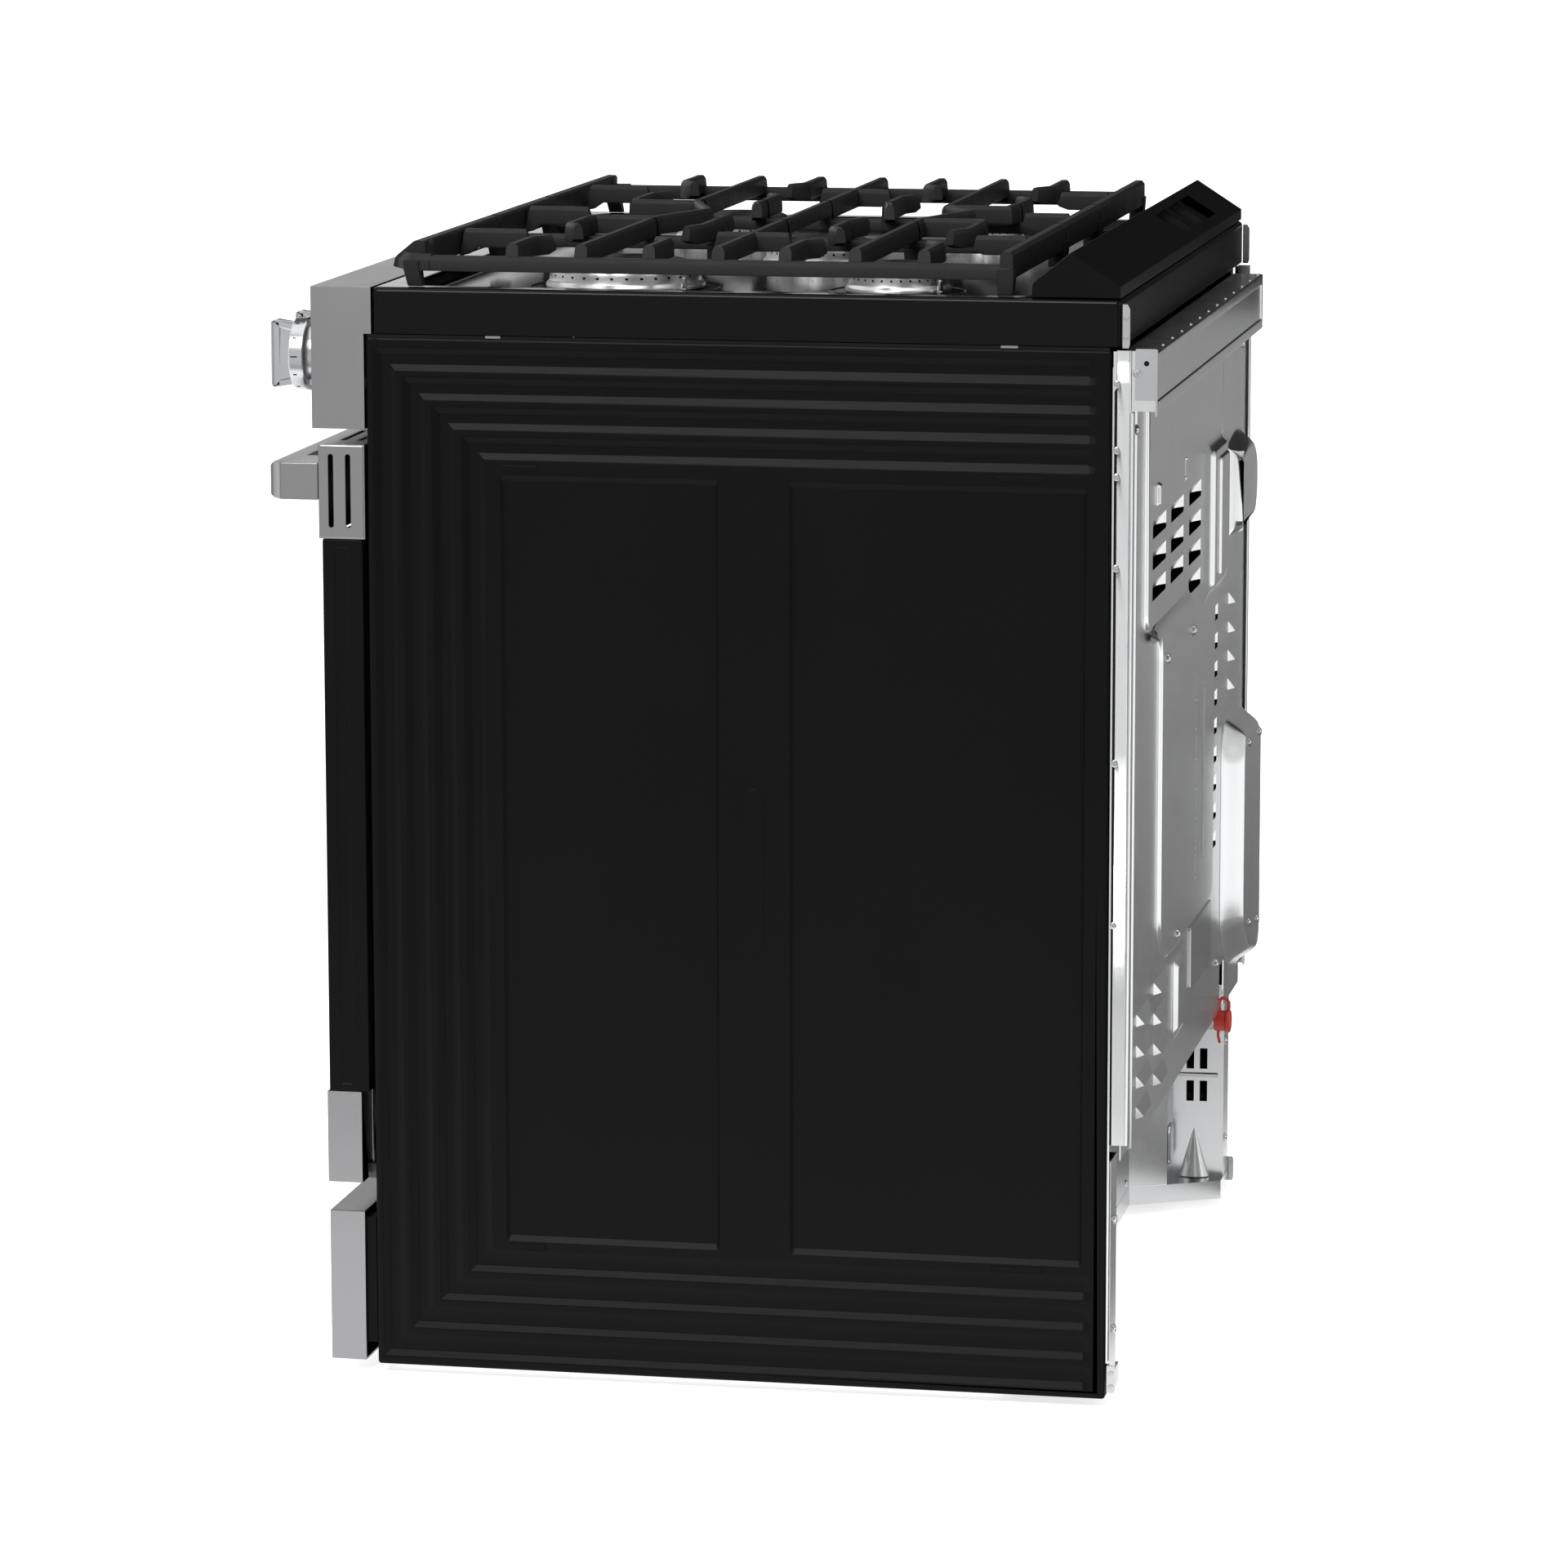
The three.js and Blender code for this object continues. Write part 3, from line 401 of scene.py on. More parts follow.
# ------------------------------------------------------------------ side panels
def side_panel(s):
    M = Mesh()
    X0 = 378.2
    f3 = lambda u, v, h: (s * (X0 + h), u, v)
    S = Sheet(M, f3)
    y0, y1, z0, z1, R = -301.5, 299.0, 8.0, 851.2, 2.2
    outer = rrect(y0 + R, y1 - R, z0 + R, z1 - R, 0.5, 2)
    hole = [(-297.2, 14.2), (289.5, 14.2), (289.5, 844.6), (-297.2, 844.6)]
    S.flat(outer, [hole], 0)
    # rolled edges and return flanges
    loops = []
    for d, h in ((R, 0), (1.15, -0.25), (0.45, -0.85), (0.08, -1.7), (0, -2.4), (0, -15.5), (1.4, -16.2)):
        loops.append([f3(u, v, h) for u, v in rrect(y0 + d, y1 - d, z0 + d, z1 - d, 2.4 - min(d, 2.0) * 0.9, 2)])
    M.loft(loops)
    # nested C-shaped grooves: profile stations from outside to inside
    depth, w = 3.4, 2.9
    stations = [(0.0, 0.0)]
    prof = [(-1.3, 0), (-1.0, -0.06), (-0.75, -0.2), (0.75, -0.8), (1.0, -0.94), (1.3, -1.0)]
    outs = [(-293.0, 840.2, 17.9), (-269.2, 816.8, 42.5), (-245.0, 793.4, 66.9), (-220.6, 770.0, 91.9)]
    inns = [(-280.0, 827.0, 31.2), (-256.4, 804.0, 55.6), (-232.6, 780.8, 80.2), (-207.8, 757.3, 105.0)]
    tracks = [(-297.2, 844.6, 14.2, 0.0)]
    for (ya, za, zb), (yi, zi, zj) in zip(outs, inns):
        for t, d in prof:
            tracks.append((ya + t * w, za - t * w, zb + t * w, depth * d))
        for t, d in [(-a, b) for a, b in reversed(prof)]:
            tracks.append((yi + t * w, zi - t * w, zj + t * w, depth * d))
    last = (-203.6, 753.2, 109.2, 0.0)
    tracks.append(last)
    loops = []
    ends = [(289.5, 0.0), (287.4, 0.05), (286.0, 0.25), (281.6, 0.8), (280.4, 1.0)]
    for yf, zt, zb, d in tracks:
        row = [f3(y, zt, d * k) for y, k in ends] + [f3(yf, zt, d), f3(yf, zb, d)] + [f3(y, zb, d * k) for y, k in reversed(ends)]
        loops.append(row)
    M.loft(loops, closed=False)
    # inner field with two shallow recesses, a pill and four lances
    inner = [(-203.6, 109.2), (289.5, 109.2), (289.5, 753.2), (-203.6, 753.2)]
    holes = []
    for ya, yb, za, zb in ((-192.5, -15.0, 116.0, 743.0), (42.0, 280.0, 115.5, 742.5)):
        # steep upright edges, gentler upper and lower ones
        M.loft([[f3(u, v, -3.2 * k) for u, v in rrect(ya + 2.7 * t, yb - 2.7 * t, za + 5.2 * t, zb - 5.2 * t, 3.0 - 1.5 * t, 2)] for t, k in ((0, 0), (0.1, 0.04), (0.9, 0.96), (1, 1))], cap1=True)
        holes.append(rrect(ya, yb, za, zb, 3.0, 2))
    holes.append(S.recess_box(5.6, 21.0, 364.0, 496.0, 7.4, 0, 1.1, 1.3))
    for a, b, c in ((-191, -161, 748.4), (207, 248, 748.4), (-190, -160, 109.9), (206, 248, 109.9)):
        if c > 700:
            holes.append(S.recess_box(a, b, c - 2.6, c + 2.6, 1.8, 0, 1.0, 0.9))
    # the two lower lances sit on the narrow strip above the lowest groove
    for a, b in ((-190, -160), (206, 248)):
        block(M, s * (X0 - 1.0) if s > 0 else s * (X0 + 1.0), s * (X0 + 1.0) if s > 0 else s * (X0 - 1.0), a, b, 109.9, 113.9, 0.4)
    S.flat(inner, holes, 0)
    # joining strip between the inner field and the rear edge is already flat; two small round bosses sit near the front
    # edge, top and bottom
    lathe(M, [(3.4, -0.2), (3.3, 0.12), (2.7, 0.42), (1.5, 0.45), (1.2, 0.2), (0.05, 0.2)] if s > 0 else [(3.4, 0.2), (3.3, -0.12), (2.7, -0.42), (1.5, -0.45), (1.2, -0.2), (0.05, -0.2)], (s * X0, -294.2, 847.2), "x", 20)
    lathe(M, [(2.2, -0.2), (2.1, 0.12), (1.6, 0.42), (0.05, 0.45)] if s > 0 else [(2.2, 0.2), (2.1, -0.12), (1.6, -0.42), (0.05, -0.45)], (s * X0, -296.0, 12.2), "x", 16)
    name = "side_panel_right" if s > 0 else "side_panel_left"
    finish_mesh(name + "_skin", M, M_BLACK, "range_body", (name,), sharp=32, recalc=False)


for s in (1, -1):
    side_panel(s)


# ------------------------------------------------------------------ rear cover: stamped galvanised sheet
def rear_cover():
    M = Mesh()
    Y0 = 313.2
    f3 = lambda u, v, h: (u, Y0 + h, v)
    S = Sheet(M, f3)
    # outline with the gas notch and the cut corner, seen with x to the right and z up, counter-clockwise
    outline = [(-350.0, 205.0), (-245.0, 205.0), (-245.0, 246.0), (-215.0, 246.0), (-215.0, 205.0), (334.0, 205.0), (334.0, 801.0), (-376.0, 801.0), (-376.0, 222.0), (-350.0, 222.0)]
    full = [(x if x < 300 else 376.0, z) for x, z in outline]
    # raised field: louvre field above, plateau below, near edge stepping inwards at the top of the plateau
    field_pts = [(-141, 322), (150, 322), (197, 345), (197, 586), (205, 600), (280, 614), (288, 624), (288, 797), (-182, 797), (-182, 590), (-141, 578)]
    field_r = [22, 30, 40, 16, 16, 14, 14, 3, 3, 6, 6]
    field = round_poly(field_pts, field_r, 5)
    top = 3.2
    sheet_holes = [field]
    field_holes = []
    rows = (688.0, 662.9, 637.8)
    for z in rows:
        field_holes.append(S.louvre(183.5, 262.0, z, z + 14.4, top, 6.5, e=13))
        field_holes.append(S.louvre(76.5, 153.4, z - 0.4, z + 13.8, top, 6.5, e=13))
    for z in rows + (612.7,):
        field_holes.append(S.louvre(-34.5, 41.1, z - 0.8, z + 13.2, top, 6.5, e=13))
    # small tab and small slot above the louvres
    field_holes.append(S.recess_box(226, 240, 711, 731, 3.0, top, top + 3.0, 2.6))
    field_holes.append(S.recess_box(54, 70, 711, 731, 3.5, top, top - 5.0, 1.2))
    bead = lambda d: rrect(-176 + d * 0.4, -46 - d, 590 + d * 0.36, 732 - d * 0.36, 10 - d * 0.12, 5)
    steps = [(0, 0), (9, 0.35), (18, 1.1), (26, 2.3), (31, 3.9), (33.4, 5.4), (35.2, 6.3), (38, 6.8), (44, 7.0), (54, 7.2), (56, 7.9), (57.4, 9.1), (59, 9.5)]
    M.loft([[f3(u, v, top + h) for u, v in bead(d)] for d, h in steps], cap1=True)
    field_holes.append(bead(0))
    # up-facing step across the top of the plateau
    loops = []
    for k in range(6):
        t = k / 5
        loops.append([f3(x + (146 - x) * 0.02 * t, z0 + (z1 - z0) * t, top + 5.5 * math.sin(math.pi * t * 0.5)) for x, z0, z1 in ((40, 616.5, 603), (80, 616.8, 603), (140, 617, 603), (200, 617, 603.4), (258, 616.5, 605.5))])
    M.loft(loops, closed=False)
    back = [loops[-1], [f3(x, z, top) for x, z in ((40, 599.5), (80, 599), (140, 599), (200, 599.5), (262, 603.5))]]
    M.loft(back, closed=False)
    M.add([f3(40, 616.5, top), f3(40.5, 603, top + 5.5), f3(40, 599.5, top), f3(28, 606, top)], [(0, 1, 3), (1, 2, 3)])
    M.add([f3(258, 616.5, top), f3(258.4, 605.5, top + 5.5), f3(262, 603.5, top), f3(270, 610, top)], [(0, 1, 3), (1, 2, 3)])
    S.emboss(field, 0, top, 4.2, field_holes)
    # column of inward louvres
    for i in range(9):
        z = 561.4 - 25.05 * i
        sheet_holes.append(S.louvre(-180.0, -146.0, z, z + 13.4, 0, 5.5, e=10))
    # two columns of outward louvres low on the near side, one high on the far side
    for i in range(4):
        z = 305.2 - 25.3 * i
        sheet_holes.append(S.louvre(146, 211, z, z + 10.4, 0, 5.0, out=True, e=12))
        if i < 4:
            zz = 299.5 - 25.3 * i
            sheet_holes.append(S.louvre(245, 312, zz, zz + 10.4, 0, 5.0, out=True, e=12))
        zd = 563.4 - 25.5 * i
        sheet_holes.append(S.louvre(-319, -252, zd, zd + 10.6, 0, 5.0, out=True, e=12))
    # vertical beads
    sheet_holes.append(S.recess_box(44, 94, 242, 314, 8.0, 0, 4.0, 9.0))
    # domes on the far side
    d1 = round_poly([(-338, 622), (-227, 622), (-224, 630), (-224, 708), (-284, 717), (-330, 713), (-356, 690), (-358, 650)], [16, 6, 5, 6, 18, 22, 22, 24], 4)
    S.emboss(d1, 0, 14.0, 17.0, n=6)
    sheet_holes.append(d1)
    d2 = round_poly([(-340, 222), (-262, 236), (-214, 272), (-210, 300), (-210, 440), (-226, 468), (-330, 468), (-362, 446), (-364, 250)], [20, 18, 18, 20, 20, 18, 24, 26, 20], 4)
    S.emboss(d2, 0, 19.5, 21.0, n=7)
    sheet_holes.append(d2)
    S.flat(outline, sheet_holes, 0)
    # folded edges: a return flange runs round the sheet
    loops = []
    for d, h in ((0, 0), (-0.5, -0.4), (-0.6, -1.1)):
        loops.append([f3(u, v, h - (2.8 if u > 340 else 0)) for u, v in inset(full, d)])
    M.loft(loops)
    ramp = [(334, 0), (334.6, -0.1), (335.2, -0.45), (336.2, -1.1), (337.8, -1.75), (340.2, -2.3), (344, -2.65), (350, -2.8), (376, -2.8)]
    M.loft([[f3(x, 205.0, h), f3(x, 801.0, h)] for x, h in ramp][::-1], closed=False)
    return finish_mesh("rear_cover_skin", M, M_ZINC, "range_body", ("rear_cover",), sharp=30, recalc=False)


rear_cover()


def rear_details():
    """Screws, slit strip, perforated line and access plate on the rear cover."""
    M = Mesh()
    Y0, top = 313.2, 3.2
    # long narrow slit edge, dotted line beside it
    block(M, -69.0, -66.8, Y0 + top - 0.2, Y0 + top + 0.9, 371, 519, 0.3)
    for i in range(7):
        lathe(M, [(1.3, -0.2), (1.2, 0.35), (0.6, 0.6), (0.02, 0.62)], (-16, Y0 + top, 362 + i * 25.5), "y", 12)
        block(M, -16.4, -15.6, Y0 + top - 0.2, Y0 + top + 0.25, 362 + i * 25.5 + 4, 362 + i * 25.5 + 21, 0.2)
    # access plate over the gas controls
    plate = round_poly([(-141, 262), (-8, 266), (-6, 320), (-141, 320)], 3, 3)
    M.loft([[(x, Y0 + 0.1, z) for x, z in plate], [(x, Y0 + 1.3, z) for x, z in plate], [(x, Y0 + 1.8, z) for x, z in inset(plate, 0.6)]], cap1=True)
    for x, z, h in ((6.3, 578, top), (168.6, 578, top), (93, 334, top), (-188, 253, 0.2)):
        screw(M, (x, Y0 + h - 0.2, z), "y", 1, 4.2, 3.0, flange=True)
    for x, z in ((-258, 440), (-330, 438), (-268, 276), (-326, 268)):
        screw(M, (x, Y0 + 19.3, z), "y", 1, 3.6, 2.2, flange=True)
    for x, z in ((-338, 785), (338, 785), (-120, 789), (120, 789)):
        screw(M, (x, Y0 - 0.2, z), "y", 1, 3.6, 2.2, flange=True)
    finish_mesh("rear_cover_fixings", M, M_BRIGHT, "range_body", sharp=40)


rear_details()


# ------------------------------------------------------------------ rear ledge, posts, brackets
def rear_ledge():
    """Folded ledge: rounded top fold, a shallow pressed field on the rear face and a narrow hem below."""
    M = Mesh()
    XN, XF = 375.9, -299.9
    top, low, y0, y1 = 850.95, 803.1, 307.7, 334.9
    shell = [(y0, low + 0.4), (y0, top - 1.6), (y0 + 0.4, top - 0.5), (y0 + 1.6, top), (y1 - 1.4, top), (y1 - 0.5, top - 0.4), (y1 - 0.05, top - 1.2), (y1, top - 2.0)]
    # top and front skin, outer side
    M.loft([[(x, y, z) for y, z in shell] for x in (XN, XF)], closed=False)
    # rear face: rim, step, field, step, hem
    S = Sheet(M, lambda u, v, h: (u, y1 + h, v))
    f = rrect(XF + 7, XN - 0.1, 811.0, 842.5, 1.2, 2)
    S.emboss(f, 0, -1.1, 1.3, n=3)
    S.flat([(XF, low + 0.6), (XN, low + 0.6), (XN, top - 2.0), (XF, top - 2.0)], [f], 0)
    # hem folds forwards under the face and the inner skin closes the sheet
    inner = [(y1, low + 0.6), (y1 - 0.4, low), (y1 - 1.1, low), (y1 - 1.25, low + 0.6), (y1 - 1.25, top - 1.8), (y0 + 1.5, top - 1.25), (y0 + 1.25, top - 2.0), (y0 + 1.25, low), (y0 + 0.6, low), (y0, low + 0.4)]
    M.loft([[(x, y, z) for y, z in inner] for x in (XN, XF)], closed=False)
    # end faces
    for x, s in ((XF, -1), (XN, 1)):
        M.add([(x, y0, low + 0.4), (x, y0, top - 1.6), (x, y0 + 0.4, top - 0.5), (x, y0 + 1.6, top), (x, y1 - 1.4, top), (x, y1 - 0.5, top - 0.4), (x, y1 - 0.05, top - 1.2), (x, y1, top - 2.0), (x, y1, low + 0.6), (x, y0 + 1.0, low + 0.6)], [tuple(range(10)) if s > 0 else tuple(reversed(range(10)))])
    finish_mesh("rear_ledge_skin", M, M_ZINC, "range_body", ("rear_ledge",), sharp=38, weld=0.05)


rear_ledge()


def post(side, s):
    """Corner post: a side face with a rounded rear fold, a near-black strip of painted shade in the gap and a thin hem
    beside the side panel.
    """
    M = Mesh()
    plan = [(377.2, 303.5), (377.6, 303.1), (378.2, 303.1), (378.6, 303.6), (378.6, 312.6), (378.4, 313.7), (377.9, 314.7), (377.1, 315.5), (376.1, 315.9), (366.4, 316.0), (366.0, 315.6), (366.0, 315.0), (375.6, 314.8), (376.6, 314.2), (377.2, 313.0)]
    narrow = plan[:5] + [(378.4, 313.6), (377.8, 314.2), (377.2, 313.4)]
    for z0, z1, pts in ((802.4, 851.4, narrow), (217.0, 802.4, plan)):
        loop = [(s * x, y) for x, y in pts]
        M.loft([[(x, y, z0) for x, y in loop], [(x, y, z1) for x, y in loop]], cap0=True, cap1=True)
    hem = [(377.6, 299.9), (378.3, 299.8), (378.5, 300.2), (378.5, 301.0), (378.2, 301.3), (377.6, 301.3)]
    M.loft([[(s * x, y, 38.0) for x, y in hem], [(s * x, y, 838.0) for x, y in hem]], cap0=True, cap1=True)
    plate = [(377.5, 300.4), (378.4, 300.4), (378.4, 303.0), (377.5, 303.0)]
    M.loft([[(s * x, y, 818.0 + (y - 300.4) * 1.6) for x, y in plate], [(s * x, y, 850.6) for x, y in plate]], cap0=True, cap1=True)
    finish_mesh("rear_post_" + side + "_skin", M, M_ZINC, "range_body", ("rear_post_" + side,), sharp=38)
    # painted shade: a near-black strip stands in for the shadow in the gap between the side panel and the post
    D = Mesh()
    a, b = sorted((s * 376.4, s * 377.7))
    block(D, a, b, 301.2, 303.3, 217, 849, 0.2)
    finish_mesh("rear_gap_shade_" + side, D, M_SHADE_AND_PRINT, "range_body", sharp=35)


post("right", 1)
post("left", -1)


def rear_corners():
    M = Mesh()
    for i in range(12):
        lathe(M, [(1.7, -0.1), (1.6, 0.5), (1.1, 0.9), (0.02, 1.0)], (-285 + i * 55.5, 331.6, 850.9), "z", 12)
    for s in (1, -1):
        X = lambda a, b: (min(s * a, s * b), max(s * a, s * b))
        x0, x1 = X(376.2, 377.7)
        # end plate of the ledge with its lip, locating notches and fixing, on the near side only
        if s > 0:
            prism(M, [(317.2, 812.5), (333.2, 812.5), (333.2, 800.5), (334.6, 799.6), (334.9, 801), (334.9, 852.2), (333.6, 852.9), (318.4, 852.9), (317.2, 851.6)], "x", x0, x1)
        for z in (842, 832.5, 823) if s > 0 else ():
            xa, xb = X(376.4, 378.1)
            block(M, xa, xb, 333.7, 334.95, z - 0.8, z + 0.8, 0.3)
        if s > 0:
            screw(M, (377.6, 319.0, 833.5), "x", 1, 3.0, 1.2, flange=True)
        # hemmed strip between side panel and post, with its fixings
        for z in (825, 773, 752, 680, 525, 395):
            screw(M, (s * 378.5, 303.4, z), "x", s, 2.9, 0.8, flange=False)
        xa, xb = X(377.0, 378.3)
        prism(M, [(300.6, 14), (306.5, 14), (307.5, 17), (307.5, 34), (306.5, 36), (300.6, 36)], "x", xa, xb)
        screw(M, (s * 378.2, 304, 30), "x", s, 2.2, 0.9)
        screw(M, (s * 378.2, 304, 19), "x", s, 2.2, 0.9)
        # galvanised corner under the vent cap
        xa, xb = X(376.0, 378.4)
        prism(M, [(307.3, 853.2), (312.0, 853.2), (313.0, 856), (313.0, 884), (311.0, 887.5), (307.3, 887.5)], "x", xa, xb)
        screw(M, (s * 378.2, 310.2, 876), "x", s, 2.2, 1.0)
        screw(M, (s * 378.2, 310.2, 861), "x", s, 2.2, 1.0)
    # closing plate behind the open stretch at the far end of the ledge
    block(M, -365.0, -300.6, 304.6, 305.8, 804.0, 843.0, 0.3)
    finish_mesh("rear_corner_brackets", M, M_BRIGHT, "range_body", sharp=35)
    # painted shade: a near-black disc for the hole in the ledge's end plate and near-black strips in the gaps under the
    # cooktop's edges
    D = Mesh()
    for s in (1, -1):
        if s > 0:
            lathe(D, [(2.1, 0), (2.1, 0.15), (0.02, 0.15)], (377.75, 326.2, 841.5), "x", 16)
        for y0, y1 in ((-300.5, 297.5),):
            a, b = sorted((s * 374.2, s * 377.4))
            block(D, a, b, y0, y1, 850.0, 853.5, 0.3)
    # painted shade: a near-black plate under the vent slots keeps them dark
    prism(D, [(262.0, 915.0), (300.0, 893.4), (300.0, 895.4), (263.0, 917.4)], "x", -276.0, -42.0)
    finish_mesh("shadow_strips", D, M_SHADE_AND_PRINT, "range_body", sharp=35)
    T = Mesh()
    for s in (1, -1):
        for y0, y1 in ((-203.5, -191), (211, 225)):
            a, b = sorted((s * 374.0, s * 378.0))
            block(T, a, b, y0, y1, 851.5, 853.7, 0.3)
    finish_mesh("cooktop_tabs", T, M_STEEL, "range_body", sharp=35)


rear_corners()


# ------------------------------------------------------------------ recessed lower wall with its embossing
detail("rear_recess_wall", M_ZINC, bevel=0.35)


def recess_details():
    M = Mesh()
    for s in (1, -1):
        X = lambda a, b: (min(s * a, s * b), max(s * a, s * b))
        # rib between the two rows of slots, low on the outer cheek
        xa, xb = X(337.6, 339.6)
        block(M, xa, xb, 262, 297, 118.5, 121.0, 0.6)
        # half-cone pressing that runs out on the bottom rail
        loops = []
        for k in range(9):
            t = k / 8
            z, r = 26 + 44 * t, 13 * (1 - t) + 0.8
            loops.append([(s * (340.6 - r * 0.62 * math.sin(math.pi * j / 8)), 276 - r * math.cos(math.pi * j / 8), z) for j in range(9)])
        M.loft(loops, closed=False)
        # rounded pressing on the bend
        loops = []
        for d, h in ((0, 0.4), (0.8, 1.5), (2.2, 2.2), (5, 2.3)):
            loops.append([(s * (311 + (u - 311)), 256.8 + h, v) for u, v in rrect(303 + d, 331 - d, 42 + d, 78 - d, 6)])
        M.loft(loops, cap1=True)
    # seam, slot and fixings of the back wall
    block(M, 147.0, 148.2, 224.6, 225.5, 10, 202, 0.3)
    block(M, -148.2, -147.0, 224.6, 225.5, 10, 202, 0.3)
    for x, z in ((262, 34), (262, 182), (-262, 34), (-262, 182), (160, 18), (-160, 18)):
        screw(M, (x, 224.6, z), "y", 1, 3.4, 2.2, flange=True)
    for s in (1, -1):
        screw(M, (s * 350, 302.1, 150), "y", 1, 3.4, 2.2, flange=True)
        screw(M, (s * 352, 302.1, 60), "y", 1, 3.4, 2.2, flange=True)
    finish_mesh("recess_fixings", M, M_ZINC, "range_body", sharp=35)


recess_details()
detail("power_inlet_bushing", M_RUBBER, bevel=0.8)
detail("gas_inlet_pipe", M_ZINC, bevel=0.8)


def gas_cap():
    M = Mesh()
    c = (-232, 307.5, 193)
    prof = [(6.2, 0.2), (8.6, 0.2), (9.2, 0.9), (9.2, 9.6), (9.9, 10.2), (10.3, 11.0), (10.3, 13.2), (9.6, 14.1), (7.6, 14.4), (6.8, 13.4), (0.05, 13.2)]
    loops, n = [], 48
    for r, a in prof:
        loop = []
        for k in range(n):
            t = 2 * math.pi * k / n
            rr = r - (0.45 if (k % 4) in (0, 1) and 1.0 < a < 9.7 else 0)
            loop.append((c[0] + rr * math.cos(t), c[1] + a, c[2] - rr * math.sin(t)))
        loops.append(loop)
    M.loft(loops, cap1=True)
    tube(M, [(-232, 312, 201.5), (-232, 311.2, 207), (-232, 311.8, 211.5), (-232, 314.5, 213.8), (-232, 318, 213.2), (-232, 320, 209.8), (-232, 320, 205), (-232, 319.3, 202)], 1.6, 10)
    tube(M, [(-232, 311, 186), (-232, 310.5, 180), (-232.5, 312, 173)], 1.3, 8)
    finish_mesh("gas_cap_skin", M, M_RED, "gas_cap", ("gas_inlet_cap",), sharp=38)


gas_cap()


# ------------------------------------------------------------------ cooktop and vent cap
def cooktop():
    M = Mesh()
    x, y0, y1, z0, z1 = 378.6, -296.4, 307.0, 853.9, 891.0
    o = lambda d, z, r=5.0: [(u, v, z) for u, v in rrect(-x + d, x - d, y0 + d, y1 - d, max(r - d, 1.0), 6)]
    b = lambda d, z, r=15.0: [(u, v, z) for u, v in rrect(-355.6 + d, 355.6 - d, -273.4 + d, 229 - d, max(r - d, 2.0), 6)]
    loops = [o(6, z0 + 1.5), o(1.6, z0 + 1.2), o(1.0, z0), o(0.3, z0 + 0.2), o(0, z0 + 1.2), o(0, z1 - 4.2), o(0.32, z1 - 2.6), o(1.25, z1 - 1.2), o(2.6, z1 - 0.3), o(4.2, z1), b(-4.0, z1), b(-2.2, z1 - 0.25), b(-0.8, z1 - 1.0), b(0.4, z1 - 2.4), b(3.6, 883.6), b(4.8, 882.3), b(6.6, 881.4), b(9.0, 881.05)]
    M.loft(loops)
    floor = [(u, v) for u, v, _ in loops[-1]]
    S = Sheet(M, lambda u, v, h: (u, v, 881.05 + h))
    holes = []
    for cx, cy, r in ((228, -122, 78), (228, 103, 56), (0, -4, 62), (-228, -122, 68), (-228, 103, 50)):
        circ = lambda rr, cx=cx, cy=cy: [(cx + rr * math.cos(2 * math.pi * k / 48), cy + rr * math.sin(2 * math.pi * k / 48)) for k in range(48)]
        last = S.emboss(None, 0, -0.8, 3.0, cap=True, n=4, fn=lambda d, circ=circ, r=r: circ(r - d))
        holes.append(circ(r))
    S.flat(floor, holes, 0)
    # the rear face is left in the satin ground coat
    M.m = [1 if all(M.v[i][1] > 306.8 and M.v[i][2] < 888 for i in f) else 0 for f in M.f]
    finish_mesh("cooktop_skin", M, [M_ENAMEL, M_BLACK], "range_body", ("cooktop",), sharp=50, recalc=False)


cooktop()
detail("vent_cap", M_BLACK, bevel=1.3)


